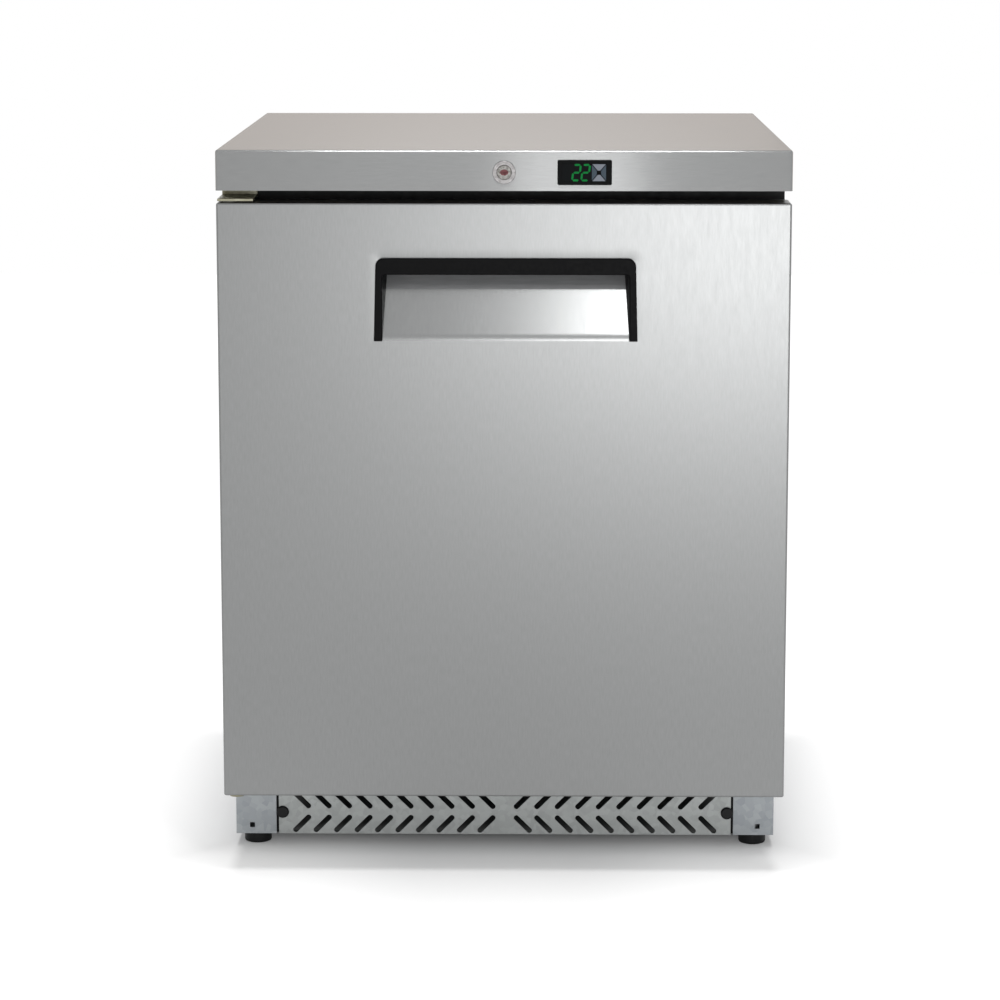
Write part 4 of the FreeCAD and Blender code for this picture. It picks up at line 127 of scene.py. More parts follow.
def relief(made, signal, depth):
    """The surface rises and falls by a depth in metres with a signal."""
    tree = made.node_tree
    skin = tree.nodes["Principled BSDF"]
    rise = tree.nodes.new("ShaderNodeBump")
    rise.inputs["Strength"].default_value = 1.0
    rise.inputs["Distance"].default_value = depth
    tree.links.new(signal, rise.inputs["Height"])
    before = skin.inputs["Normal"]
    if before.is_linked:
        tree.links.new(before.links[0].from_socket, rise.inputs["Normal"])
    tree.links.new(rise.outputs["Normal"], skin.inputs["Normal"])


def piece(bm, name, finish, body, slot, *nodes, wall=0.0, fold=30, outward=False):
    """The object for a mesh: smooth but for its folds, with UVs in metres, on its body.

    A copy of a solid already has its faces outward, and a made shape gets them so here.
    """
    bmesh.ops.remove_doubles(bm, verts=bm.verts, dist=1e-5)
    if not outward:
        bmesh.ops.recalc_face_normals(bm, faces=bm.faces)
    bm.edges.index_update()
    open_rims = [e.index for e in bm.edges if e.is_boundary]
    mesh = bpy.data.meshes.new(name)
    bm.to_mesh(mesh)
    bm.free()
    mesh.shade_smooth()
    mesh.set_sharp_from_angle(angle=math.radians(fold))
    for i in open_rims:
        mesh.edges[i].use_edge_sharp = True
    metres = mesh.uv_layers.new(name="metres")
    for face in mesh.polygons:
        way = [abs(c) for c in face.normal]
        u, v = ((1, 2), (0, 2), (0, 1))[way.index(max(way))]
        for i in face.loop_indices:
            at = mesh.vertices[mesh.loops[i].vertex_index].co
            metres.data[i].uv = (at[u], at[v])
    mesh.materials.append(finish)
    made = bpy.data.objects.new(name, mesh)
    bpy.context.scene.collection.objects.link(made)
    if wall:
        thick = made.modifiers.new("sheet", "SOLIDIFY")
        thick.thickness = wall
        thick.offset = -1
    even = made.modifiers.new("even", "WEIGHTED_NORMAL")
    even.keep_sharp = True
    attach(made, body)
    if nodes:
        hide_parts(*nodes)
    return made


def dressed(node, name, finish, edge=0.0003, fold=30):
    """A solid's own shape with its flat faces joined and its edges rounded."""
    bm = bmesh.new()
    bm.from_mesh(frame["nodes"][node].data)
    bmesh.ops.remove_doubles(bm, verts=bm.verts, dist=1e-5)
    bmesh.ops.dissolve_limit(bm, angle_limit=math.radians(0.5), verts=bm.verts, edges=bm.edges)
    if edge:
        rims = [e for e in bm.edges if len(e.link_faces) == 2 and e.calc_face_angle() > math.radians(fold)]
        bmesh.ops.bevel(bm, geom=rims, offset=edge, affect="EDGES", segments=2, profile=0.5,
                        material=-1, clamp_overlap=True)
    return piece(bm, name, finish, BODY_OF[node], SLOT_OF[node], node, fold=fold, outward=True)


galvanised = look("galvanised", tone(153, 157, 160), 0.42, 0.35, 0.4)
tint(galvanised, spangle(galvanised, 130), tone(144, 149, 153), tone(160, 164, 167), 0.0, 1.0)
gloss(galvanised, noise(galvanised, (60, 60, 60)), 0.36, 0.5)
relief(galvanised, noise(galvanised, (900, 900, 900), 2), 0.00002)

dressed("base_rail_left", "left_base_rail", galvanised, 0.0005)
dressed("base_rail_right", "right_base_rail", galvanised, 0.0005)

# The tray is galvanised sheet coloured far darker than galvanised steel: painted shade, so the kick plate's
# slots read dark.
tray_shade_dark = look("tray_shade_dark", tone(46, 47, 48), 0.5, 0.3, 0.3)
tint(tray_shade_dark, noise(tray_shade_dark, (30, 30, 30), 4), tone(38, 39, 40), tone(54, 55, 56))
gloss(tray_shade_dark, noise(tray_shade_dark, (80, 80, 80)), 0.42, 0.6)
dressed("compressor_tray", "machine_tray", tray_shade_dark)

kick_steel = look("kick_steel", tone(157, 160, 159), 0.4, 0.35, 0.4)
tint(kick_steel, spangle(kick_steel, 160), tone(150, 153, 152), tone(164, 167, 166), 0.0, 1.0)
gloss(kick_steel, noise(kick_steel, (40, 40, 40)), 0.34, 0.48)
relief(kick_steel, noise(kick_steel, (900, 900, 900), 2), 0.00002)
dressed("front_grille", "kick_plate", kick_steel, 0.0004)

black_screw = look("black_screw", tone(13, 14, 15), 0.4, 0.0, 0.2)
gloss(black_screw, noise(black_screw, (300, 300, 300)), 0.28, 0.45)
relief(black_screw, noise(black_screw, (1500, 1500, 1500), 2), 0.00001)
dressed("grille_screws", "kick_plate_screws", black_screw, 0.0004)

# A thin black strip at each end of the kick plate: painted shade in the seam, where the plate stands back from
# the post.
seam_shade_black = look("seam_shade_black", tone(14, 14, 15), 0.7, 0.0, 0.1)
gloss(seam_shade_black, noise(seam_shade_black, (400, 400, 400)), 0.6, 0.8)
relief(seam_shade_black, noise(seam_shade_black, (1500, 1500, 1500), 2), 0.00002)
SEAM_WIDTH, SEAM_DEPTH = 0.0026, 0.0007
SEAM_OUTSIDE_PLATE = 0.0015
SEAM_BACK = 0.00085
SEAM_SHORTER = 0.003
SEAM_EDGE = 0.0002
plate_low, plate_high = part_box("front_grille")
seam_size = (SEAM_WIDTH, SEAM_DEPTH, plate_high.z - plate_low.z - SEAM_SHORTER)
for side, hand in ((-1, "left"), (1, "right")):
    seam = bmesh.new()
    bmesh.ops.create_cube(seam, size=1.0)
    bmesh.ops.scale(seam, vec=seam_size, verts=seam.verts)
    seam_x = side * (plate_high.x + SEAM_OUTSIDE_PLATE)
    seam_middle = (seam_x, plate_low.y + SEAM_BACK, (plate_low.z + plate_high.z) / 2)
    bmesh.ops.translate(seam, vec=seam_middle, verts=seam.verts)
    bmesh.ops.bevel(seam, geom=seam.edges, offset=SEAM_EDGE, affect="EDGES", segments=2,
                    profile=0.5, material=-1)
    piece(seam, hand + "_seam_shade_strip", seam_shade_black, "cabinet", "black_plastic")

# ---- Feet
# Black moulded pads on zinc-plated studs, which screw into weld nuts in the rails. The
# stud's thread shows as ridges.
foot_black = look("foot_black", tone(15, 16, 17), 0.5, 0.0, 0.2)
gloss(foot_black, noise(foot_black, (200, 200, 200)), 0.42, 0.6)
relief(foot_black, noise(foot_black, (1200, 1200, 1200), 3), 0.00003)
stud_zinc = look("stud_zinc", tone(150, 150, 146), 0.32, 0.9)
gloss(stud_zinc, noise(stud_zinc, (400, 400, 400)), 0.26, 0.42)
tint(stud_zinc, noise(stud_zinc, (200, 200, 200)), tone(138, 138, 132), tone(160, 160, 156))
PAD_TOP = 0.0138
PAD_LINE = [
    (0.0, 0.0), (0.0140, 0.0), (0.0157, 0.0007), (0.0164, 0.0022),
    (0.0166, 0.0120), (0.0162, 0.0132), (0.0152, PAD_TOP), (0.0, PAD_TOP),
]
STUD_CREST, STUD_ROOT = 0.0050, 0.0045
THREAD_START = 0.0140
THREAD_PITCH = 0.0015
PLAIN_END = 0.002


def turned_upright(bm, profile, middle, steps=48):
    """A shape turned about an upright axis: the profile is (radius, z)."""
    start = [bm.verts.new((middle.x + r, middle.y, z)) for r, z in profile]
    edges = [bm.edges.new(pair) for pair in zip(start, start[1:])]
    bmesh.ops.spin(bm, geom=start + edges, cent=(middle.x, middle.y, 0), axis=(0, 0, 1),
                   angle=math.tau, steps=steps, use_merge=True)


for corner in ("front_left", "front_right", "rear_left", "rear_right"):
    node = "foot_" + corner
    low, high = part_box(node)
    middle = (low + high) / 2
    pad = bmesh.new()
    turned_upright(pad, PAD_LINE, middle)
    piece(pad, corner + "_foot_pad", foot_black, BODY_OF[node], SLOT_OF[node], node, fold=40)
    stud_line = [(0.0, PAD_TOP), (STUD_ROOT, PAD_TOP), (STUD_ROOT, THREAD_START)]
    for k in range(int((high.z - THREAD_START - PLAIN_END) / THREAD_PITCH)):
        stud_line.append((STUD_CREST, THREAD_START + (k + 0.5) * THREAD_PITCH))
        stud_line.append((STUD_ROOT, THREAD_START + (k + 1) * THREAD_PITCH))
    stud_line += [(STUD_ROOT, high.z), (0.0, high.z)]
    stud = bmesh.new()
    turned_upright(stud, stud_line, middle, 24)
    piece(stud, corner + "_foot_stud", stud_zinc, BODY_OF[node], "zinc_plate")

# ---- Cabinet shell
# Brushed stainless sides with a flange folded in at the rear, a galvanised back and
# underside, and a steel frame that the door's magnet pulls against, coloured near black as
# painted shade in the gap over the door. Foam fills the walls up to a thin white liner,
# which a plastic ring keeps off the warm front frame.
def brushed(name, colour, roughness, spread, turn, waves, fleck=0.04):
    """Brushed sheet: waves are to the metre along its UVs, and spread blurs across the grain."""
    made = look(name, colour, roughness, 1.0)
    tree = made.node_tree
    skin = tree.nodes["Principled BSDF"]
    way = tree.nodes.new("ShaderNodeTangent")
    way.direction_type = "UV_MAP"
    way.uv_map = "metres"
    tree.links.new(way.outputs["Tangent"], skin.inputs["Tangent"])
    skin.inputs["Anisotropic"].default_value = spread
    skin.inputs["Anisotropic Rotation"].default_value = turn
    lines = noise(made, waves, 4, "UV")
    dark = tuple(c * (1 - fleck) for c in colour)
    light = tuple(c * (1 + fleck) for c in colour)
    tint(made, lines, dark, light)
    broad = noise(made, (waves[0] / 3, waves[1] / 3, 1), 2, "UV")
    gloss(made, broad, roughness - 0.008, roughness + 0.008)
    relief(made, lines, 0.000002)
    return made


stainless = brushed("stainless_upright", tone(128, 129, 129), 0.329, 0.275, 0.0, (600, 80, 1))
dressed("side_panel_left", "left_side", stainless)
dressed("side_panel_right", "right_side", stainless)
dressed("rear_panel", "back_sheet", galvanised)
dressed("underside_pan", "underside", galvanised)

frame_steel = brushed("frame_steel", tone(150, 151, 151), 0.4, 0.3, 0.0, (300, 60, 1))
# The frame's near-black colour is painted shade: it stands in for the dark seen in the gap over the door.
frame_black = look("frame_black", tone(26, 27, 28), 0.5, 0.0, 0.2)
gloss(frame_black, noise(frame_black, (120, 120, 120)), 0.44, 0.6)
relief(frame_black, noise(frame_black, (900, 900, 900), 2), 0.00002)
dressed("front_frame", "door_opening_frame", frame_black)

foam = look("rigid_foam", tone(222, 208, 160), 0.85, 0.0, 0.2)
tint(foam, noise(foam, (90, 90, 90), 4), tone(210, 194, 144), tone(230, 217, 172))
relief(foam, noise(foam, (1400, 1400, 1400), 2), 0.0002)
dressed("insulation", "cabinet_foam", foam)

white_plastic = look("white_plastic", tone(226, 228, 226), 0.32, 0.0, 0.4)
tint(white_plastic, noise(white_plastic, (4, 4, 4), 2), tone(222, 224, 222), tone(229, 231, 229))
gloss(white_plastic, noise(white_plastic, (30, 30, 30)), 0.28, 0.38)
relief(white_plastic, noise(white_plastic, (350, 350, 350), 2), 0.00003)
dressed("inner_liner", "liner_tub", white_plastic)
dressed("breaker_strip", "breaker_trim", white_plastic)

# ---- Shelves and what carries them
# Four slotted steel channels are fixed to the side walls, with eight clips hooked into
# them. The two shelves are welded wire, plated, and lie loose on the clips.
dressed("shelf_pilasters", "shelf_channels", frame_steel)
dressed("shelf_clips", "shelf_hooks", frame_steel, 0.0004)
plated = look("plated_wire", tone(206, 208, 210), 0.22, 1.0)
gloss(plated, noise(plated, (200, 200, 200)), 0.16, 0.3)
tint(plated, noise(plated, (60, 60, 60)), tone(196, 198, 200), tone(212, 214, 216))
dressed("shelf_lower", "lower_wire_shelf", plated, 0.0)
dressed("shelf_upper", "upper_wire_shelf", plated, 0.0)

# ---- Evaporator
# A finned coil stands in front of the rear wall behind a folded stainless cover, with a fan
# in a moulded frame. The tray under it drains to a pan in the machine space.
fins = look("fin_aluminium", tone(196, 198, 200), 0.35, 1.0)
tint(fins, noise(fins, (80, 80, 80)), tone(186, 188, 190), tone(204, 206, 208))
gloss(fins, noise(fins, (300, 300, 300)), 0.3, 0.45)
black_plastic = look("black_plastic", tone(22, 23, 24), 0.45, 0.0, 0.3)
gloss(black_plastic, noise(black_plastic, (250, 250, 250)), 0.4, 0.55)
relief(black_plastic, noise(black_plastic, (1800, 1800, 1800), 3), 0.00002)
dressed("evaporator_coil", "cold_coil", fins, 0.0)
dressed("evaporator_cover", "coil_cover", stainless)
dressed("evaporator_fan_frame", "coil_fan_frame", black_plastic)
dressed("evaporator_fan_blades", "coil_fan_wheel", black_plastic, 0.0, 40)
dressed("drip_tray", "coil_drip_tray", white_plastic)
probe_steel = brushed("probe_steel", tone(160, 161, 162), 0.3, 0.3, 0.0, (500, 100, 1))
dressed("temperature_probe", "cold_probe", probe_steel, 0.0002)

# ---- Machine space
# A black painted compressor stands on four rubber mounts beside the condenser, its shroud
# and fan. Copper pipes join them, and a slotted cover is screwed on at the rear.
black_paint = look("black_paint", tone(32, 33, 35), 0.38, 0.0, 0.5)
gloss(black_paint, noise(black_paint, (40, 40, 40)), 0.32, 0.46)
relief(black_paint, noise(black_paint, (500, 500, 500), 2), 0.00006)
rubber = look("black_rubber", tone(30, 30, 30), 0.75, 0.0, 0.3)
relief(rubber, noise(rubber, (900, 900, 900), 3), 0.00006)
tint(rubber, noise(rubber, (60, 60, 60)), tone(26, 26, 26), tone(36, 36, 36))
copper = look("copper", tone(196, 132, 98), 0.3, 1.0)
tint(copper, noise(copper, (25, 25, 25), 4), tone(170, 108, 78), tone(206, 142, 106))
gloss(copper, noise(copper, (120, 120, 120)), 0.25, 0.42)
dressed("compressor", "compressor_can", black_paint, 0.0008)
dressed("compressor_mounts", "rubber_mounts", rubber, 0.0005)
dressed("condenser", "hot_coil", fins, 0.0)
dressed("condenser_shroud", "fan_shroud", galvanised)
dressed("condenser_fan_motor", "hot_fan_motor", black_paint)
dressed("condenser_fan_blades", "hot_fan_wheel", fins, 0.0, 40)
dressed("refrigerant_pipes", "copper_pipes", copper, 0.0, 40)
dressed("evaporation_tray", "evaporation_pan", black_plastic)
dressed("electrical_box", "wiring_box", black_plastic, 0.0006)
dressed("rear_grille", "rear_cover", galvanised)
dressed("cable_gland", "lead_gland", black_plastic, 0.0003)

# ---- Worktop
# One stainless sheet with the grain along X, folded down on all four sides over a board.
# The front edge ends in a hem turned back, and is cut for the lock and the controller.
TOP = 0.850
FRONT, REAR = -0.343, 0.347
SIDE = 0.329
BAND_BOTTOM = 0.8035
SHEET = 0.0012
FOLD = 0.003
RETURN = 0.018
LOCK_X, LOCK_Z = 0.0005, 0.8247
LOCK_HOLE = 0.0112
CONTROL_X, CONTROL_Z = 0.0922, 0.8246
CONTROL_HOLE = (0.0286, 0.01185)


def rounded(low, high, radius, steps=6):
    """Points round a rectangle with round corners, the same number for any radius."""
    points = []
    corners = ((high[0], low[1], -90), (high[0], high[1], 0), (low[0], high[1], 90), (low[0], low[1], 180))
    for x, z, start in corners:
        middle_x = x - radius if x == high[0] else x + radius
        middle_z = z - radius if z == high[1] else z + radius
        points += arc(middle_x, middle_z, radius, start, start + 90, steps)
    return points


def fold_lines(low, high, radius, steps=6):
    """Outlines down a fold, from its flat face's edge, each with how far it lies from the face."""
    lines = []
    for k in range(steps + 1):
        turn = math.radians(90 * k / steps)
        inset = radius * (1 - math.sin(turn))
        outline = rounded((low[0] + inset, low[1] + inset), (high[0] - inset, high[1] - inset), radius - inset)
        lines.append((outline, radius * (1 - math.cos(turn))))
    return lines


def join_rings(bm, rings):
    """Quads between rings of as many points each."""
    made = [[bm.verts.new(p) for p in ring] for ring in rings]
    for one, two in zip(made, made[1:]):
        for i in range(len(one)):
            j = (i + 1) % len(one)
            bm.faces.new((one[i], one[j], two[j], two[i]))
    return made


def take_out(bm, axis, place):
    """Takes out what lies flat in a plane, for a face with holes to take its place."""
    flat = [f for f in bm.faces if all(abs(v.co[axis] - place) < 1e-6 for v in f.verts)]
    bmesh.ops.delete(bm, geom=flat, context="FACES_ONLY")


def fill_flat(bm, *loops):
    """A flat face bounded by the first loop, with the other loops as holes in it."""
    edges = []
    for loop in loops:
        corners = [bm.verts.new(p) for p in loop]
        edges += [bm.edges.new(pair) for pair in zip(corners, corners[1:] + corners[:1])]
    bmesh.ops.triangle_fill(bm, edges=edges, use_beauty=True)


def ellipse(x, z, half_x, half_z, y, steps=48):
    """Points round an ellipse or a circle in front view."""
    turns = [math.tau * i / steps for i in range(steps)]
    return [Vector((x + half_x * math.cos(t), y, z + half_z * math.sin(t))) for t in turns]


def frontal(x, z, y):
    """The corners of a rectangle in front view."""
    return [Vector((at, y, up)) for at, up in ((x[0], z[0]), (x[1], z[0]), (x[1], z[1]), (x[0], z[1]))]


def arc(x, z, radius, start, end, steps):
    """Points along an arc of a flat line, from one turn to another in degrees."""
    turns = [math.radians(start + (end - start) * k / steps) for k in range(steps + 1)]
    return [(x + radius * math.cos(t), z + radius * math.sin(t)) for t in turns]


def new_points(made):
    """The vertices that an extrusion made."""
    return [v for v in made["geom"] if isinstance(v, bmesh.types.BMVert)]


rings = [[Vector((x, y, TOP - drop)) for x, y in outline]
         for outline, drop in fold_lines((-SIDE, FRONT), (SIDE, REAR), FOLD)]
rings.append([Vector((p.x, p.y, BAND_BOTTOM)) for p in rings[-1]])
top = bmesh.new()
top.faces.new(join_rings(top, rings)[0])
take_out(top, 1, FRONT)
edge_x = SIDE - FOLD
fill_flat(
    top,
    frontal((-edge_x, edge_x), (BAND_BOTTOM, TOP - FOLD), FRONT),
    ellipse(LOCK_X, LOCK_Z, LOCK_HOLE, LOCK_HOLE, FRONT),
    frontal((CONTROL_X - CONTROL_HOLE[0], CONTROL_X + CONTROL_HOLE[0]),
            (CONTROL_Z - CONTROL_HOLE[1], CONTROL_Z + CONTROL_HOLE[1]), FRONT),
)
worktop_steel = brushed("stainless_level", tone(140, 141, 141), 0.24, 1.0, 0.25, (60, 600, 1))
skin = worktop_steel.node_tree.nodes["Principled BSDF"]
skin.inputs["Specular Tint"].default_value = (1, 0.9, 0.83, 1)
worktop = piece(top, "worktop_sheet", worktop_steel, "cabinet", "stainless", "worktop_skin", wall=SHEET)

HEM_RADIUS = 0.0007
HEM_BACK = 0.00005
HEM_OVERLAP = 0.0016
hem_line = [(FRONT + HEM_BACK, BAND_BOTTOM + HEM_OVERLAP)]
hem_line += arc(FRONT + HEM_BACK + HEM_RADIUS, BAND_BOTTOM + HEM_RADIUS, HEM_RADIUS, 180, 270, 6)
hem_line.append((FRONT + RETURN, BAND_BOTTOM))
hem = bmesh.new()
start = [hem.verts.new((-edge_x, y, z)) for y, z in hem_line]
edges = [hem.edges.new(pair) for pair in zip(start, start[1:])]
pulled = bmesh.ops.extrude_edge_only(hem, edges=edges)
bmesh.ops.translate(hem, vec=(2 * edge_x, 0, 0), verts=new_points(pulled))
front_hem = piece(hem, "worktop_hem", worktop_steel, "cabinet", "stainless", wall=SHEET)

board = look("worktop_board", tone(190, 164, 124), 0.7, 0.0, 0.3)
tint(board, noise(board, (8, 90, 90), 5), tone(166, 138, 98), tone(204, 180, 140))
relief(board, noise(board, (60, 600, 600), 3), 0.0001)
dressed("worktop_core", "worktop_board", board, 0.0008)

# ---- Lock
# A chromed die-cast rose on a threaded body, held in the band by a nut. The key turns its
# barrel, whose face has a red insert round the keyway and a shutter in it, and the barrel
# carries a steel tongue into a box in the door's top edge.
def turned(bm, profile, middle, steps=64):
    """A shape turned about an axis along Y: the profile is (radius, y)."""
    start = [bm.verts.new((middle[0] + r, y, middle[1])) for r, y in profile]
    edges = [bm.edges.new(pair) for pair in zip(start, start[1:])]
    bmesh.ops.spin(bm, geom=start + edges, cent=(middle[0], 0, middle[1]), axis=(0, 1, 0),
                   angle=math.tau, steps=steps, use_merge=True)


chrome = look("chrome", tone(176, 174, 174), 0.2, 1.0)
gloss(chrome, noise(chrome, (150, 150, 150)), 0.16, 0.26)
tint(chrome, noise(chrome, (300, 300, 300)), tone(160, 157, 157), tone(192, 190, 190))
ROSE = 0.0132
ROSE_FRONT = FRONT - 0.0025
ROSE_ROUND = (0.0013, 0.0015)
BODY = 0.0110
BODY_BACK = FRONT + 0.020
BARREL = 0.0085
BORE = BARREL + 0.00005
rose_line = [(BODY, BODY_BACK), (BODY, FRONT), (ROSE, FRONT), (ROSE, ROSE_FRONT + ROSE_ROUND[1])]
for k in range(1, 7):
    turn = math.radians(90 * k / 6)
    rose_line.append((ROSE - ROSE_ROUND[0] * (1 - math.cos(turn)),
                      ROSE_FRONT + ROSE_ROUND[1] * (1 - math.sin(turn))))
rose_line += [(0.0100, ROSE_FRONT), (0.0094, ROSE_FRONT + 0.0003), (BORE, ROSE_FRONT + 0.0011),
              (BORE, BODY_BACK), (BODY, BODY_BACK)]
rose = bmesh.new()
turned(rose, rose_line, (LOCK_X, LOCK_Z))
lock_rose = piece(rose, "lock_rose", chrome, "cabinet", "chrome", "lock_housing", fold=25)


def pushed_back(bm, loop, depth):
    """A flat face on a loop of points, with walls and a second face so far behind it."""
    face = bm.faces.new([bm.verts.new(p) for p in loop])
    back = bmesh.ops.extrude_face_region(bm, geom=[face])
    bmesh.ops.translate(bm, vec=(0, depth, 0), verts=new_points(back))
    return face


def keyway(y, width=1.0, height=1.0):
    """Points round the keyway, with the rib in its lower edge, at a depth."""
    x, z = KEYWAY
    line = ((-x, -z), (-0.0006, -z), (0.0002, -0.0004), (0.0012, -z), (x, -z), (x, z), (-x, z))
    return [Vector((LOCK_X + at * width, y, LOCK_Z + up * height)) for at, up in line]


KEYWAY = (0.0040, 0.0011)
KEYWAY_DEPTH = 0.012
FACE_Y = ROSE_FRONT + 0.0009
FACE_RIM = BARREL - 0.0006
BARREL_BACK = FRONT + 0.0222
barrel_line = [(FACE_RIM, FACE_Y), (BARREL - 0.0001, FACE_Y + 0.0005),
               (BARREL - 0.0001, BARREL_BACK), (0.0, BARREL_BACK)]
barrel = bmesh.new()
turned(barrel, barrel_line, (LOCK_X, LOCK_Z))
fill_flat(barrel, ellipse(LOCK_X, LOCK_Z, FACE_RIM, FACE_RIM, FACE_Y, 64), keyway(FACE_Y))
mouth = pushed_back(barrel, keyway(FACE_Y), KEYWAY_DEPTH)
bmesh.ops.delete(barrel, geom=[mouth], context="FACES_ONLY")
worn_chrome = look("worn_chrome", tone(150, 147, 143), 0.3, 1.0)
gloss(worn_chrome, noise(worn_chrome, (700, 700, 700)), 0.22, 0.4)
tint(worn_chrome, noise(worn_chrome, (420, 420, 420), 4), tone(112, 110, 106), tone(176, 174, 170))
lock_plug = piece(barrel, "lock_plug", worn_chrome, "lock", "chrome", "lock_barrel", fold=25)

shutter_red = look("shutter_red", tone(120, 62, 66), 0.4, 0.0, 0.3)
tint(shutter_red, noise(shutter_red, (400, 400, 400)), tone(96, 48, 52), tone(146, 92, 94))
gloss(shutter_red, noise(shutter_red, (900, 900, 900)), 0.34, 0.5)
INSERT = (0.0048, 0.0034)
INSERT_PROUD, INSERT_THICK = 0.00015, 0.00025
insert_y = FACE_Y - INSERT_PROUD
plate = bmesh.new()
fill_flat(plate, ellipse(LOCK_X, LOCK_Z, INSERT[0], INSERT[1], insert_y), keyway(insert_y))
back = bmesh.ops.extrude_face_region(plate, geom=plate.faces[:])
bmesh.ops.translate(plate, vec=(0, INSERT_THICK, 0), verts=new_points(back))
key_insert = piece(plate, "key_insert", shutter_red, "lock", "chrome")
SHUTTER_SUNK, SHUTTER_THICK = 0.0006, 0.001
shutter = bmesh.new()
pushed_back(shutter, keyway(FACE_Y + SHUTTER_SUNK, 0.97, 0.95), SHUTTER_THICK)
key_shutter = piece(shutter, "key_shutter", shutter_red, "lock", "chrome")

cam_steel = brushed("cam_steel", tone(168, 170, 170), 0.35, 0.3, 0.0, (300, 100, 1))
dressed("lock_cam", "lock_tongue", cam_steel, 0.0004)

# ---- Controller
# Black moulded case pushed through the band, with a smoked window over a green two-digit
# display and four wedge-shaped keys that meet in an X.
control_black = look("control_black", tone(9, 10, 11), 0.4, 0.0, 0.1)
gloss(control_black, noise(control_black, (300, 300, 300)), 0.36, 0.5)
relief(control_black, noise(control_black, (2200, 2200, 2200), 2), 0.00001)
controller = dressed("controller_case", "control_case", control_black, 0.0004)
smoked = look("smoked_window", tone(5, 9, 11), 0.12, 0.0, 0.12)
gloss(smoked, noise(smoked, (60, 60, 60)), 0.09, 0.16)
window = dressed("controller_window", "control_window", smoked, 0.0002)
key_grey = look("key_grey", tone(114, 119, 128), 0.5, 0.0, 0.2)
key_slate = look("key_slate", tone(56, 68, 78), 0.5, 0.0, 0.2)
for finish in (key_grey, key_slate):
    gloss(finish, noise(finish, (400, 400, 400)), 0.44, 0.58)
    relief(finish, noise(finish, (2500, 2500, 2500), 2), 0.00001)
for way, finish in (("up", key_grey), ("down", key_grey), ("left", key_slate), ("right", key_slate)):
    dressed("key_" + way, way + "_key", finish, 0.0004)

lit_green = look("lit_green", tone(10, 110, 50), 0.4, 0.0, 0.05)
skin = lit_green.node_tree.nodes["Principled BSDF"]
skin.inputs["Emission Color"].default_value = (*tone(14, 112, 52), 1)
skin.inputs["Emission Strength"].default_value = 0.3
tint(lit_green, noise(lit_green, (500, 500, 500)), tone(4, 84, 36), tone(8, 104, 46))
DIGIT = (0.0078, 0.0176)
DIGITS_FROM_WINDOW_EDGE = (0.0166, 0.0270)
STROKE = 0.0024
STROKE_GAP = 0.0004
SLANT = 0.12
DIGIT_PROUD, DIGIT_THICK = 0.00008, 0.00028
window_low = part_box("controller_window")[0]
right, up = DIGIT[0] / 2, DIGIT[1] / 2
BARS_OF_TWO = (
    ((-right, up), (right, up)), ((right, up), (right, 0)), ((-right, 0), (right, 0)),
    ((-right, 0), (-right, -up)), ((-right, -up), (right, -up)),
)
digits = bmesh.new()
for from_edge in DIGITS_FROM_WINDOW_EDGE:
    for start, end in BARS_OF_TWO:
        along = (Vector(end) - Vector(start)).normalized()
        across = Vector((-along.y, along.x)) * STROKE / 2
        tip = along * STROKE / 2
        a = Vector(start) + along * STROKE_GAP
        b = Vector(end) - along * STROKE_GAP
        bar = (a, a + tip + across, b - tip + across, b, b - tip - across, a + tip - across)
        outline = [Vector((window_low.x + from_edge + p.x + SLANT * p.y, window_low.y - DIGIT_PROUD,
                           CONTROL_Z + p.y)) for p in bar]
        pushed_back(digits, outline, DIGIT_THICK)
piece(digits, "control_digits", lit_green, "cabinet", "smoked_window")

# ---- Hinges
# A zinc-plated angle over the door and a plate under it, each with a pin and two screws.
# The pins turn in a flanged bush at the door's top and a self-closing cartridge at its foot.
zinc = look("zinc_plate", tone(140, 137, 120), 0.35, 0.8)
tint(zinc, noise(zinc, (60, 60, 60), 3), tone(122, 118, 96), tone(156, 154, 138))
gloss(zinc, noise(zinc, (200, 200, 200)), 0.28, 0.45)
dressed("hinge_top_bracket", "upper_hinge", zinc, 0.0004)
dressed("hinge_bottom_bracket", "lower_hinge", zinc, 0.0004)
nylon = look("nylon", tone(222, 221, 214), 0.45, 0.0, 0.4)
tint(nylon, noise(nylon, (60, 60, 60)), tone(216, 215, 207), tone(228, 227, 221))
relief(nylon, noise(nylon, (900, 900, 900), 2), 0.00001)
dressed("door_bearings", "hinge_bushes", nylon, 0.0004)

# ---- Door
# A brushed stainless pan with upright grain over foam, closed by a formed white liner that
# carries the magnetic gasket. The sheet is drawn in a little round the handle, and its top
# fold is open over the box that the lock's tongue turns into.
DOOR_X = 0.3287
DOOR_TOP, DOOR_BOTTOM = 0.7895, 0.0915
DOOR_FOLD = 0.0025
DOOR_SHEET = 0.0008
DOOR_SKIN_BACK = -0.293
HANDLE_X = 0.0023
HANDLE_TOP, HANDLE_BOTTOM = 0.7265, 0.6310
HANDLE_OPENING = 0.1414
CEILING = 0.7225
HOLE_MARGIN = 0.002
HOLE_CORNER = 0.001
DRAWN_IN = 0.0006
DRAWN_WIDTH = 0.016
DRAWN_STEPS = 8
DRAWN_FADE = 0.04            # up from the handle's foot, over which the depth is reached


def level(x, y, z):
    """The corners of a rectangle in top view."""
    return [Vector((at, back, z)) for at, back in ((x[0], y[0]), (x[1], y[0]), (x[1], y[1]), (x[0], y[1]))]


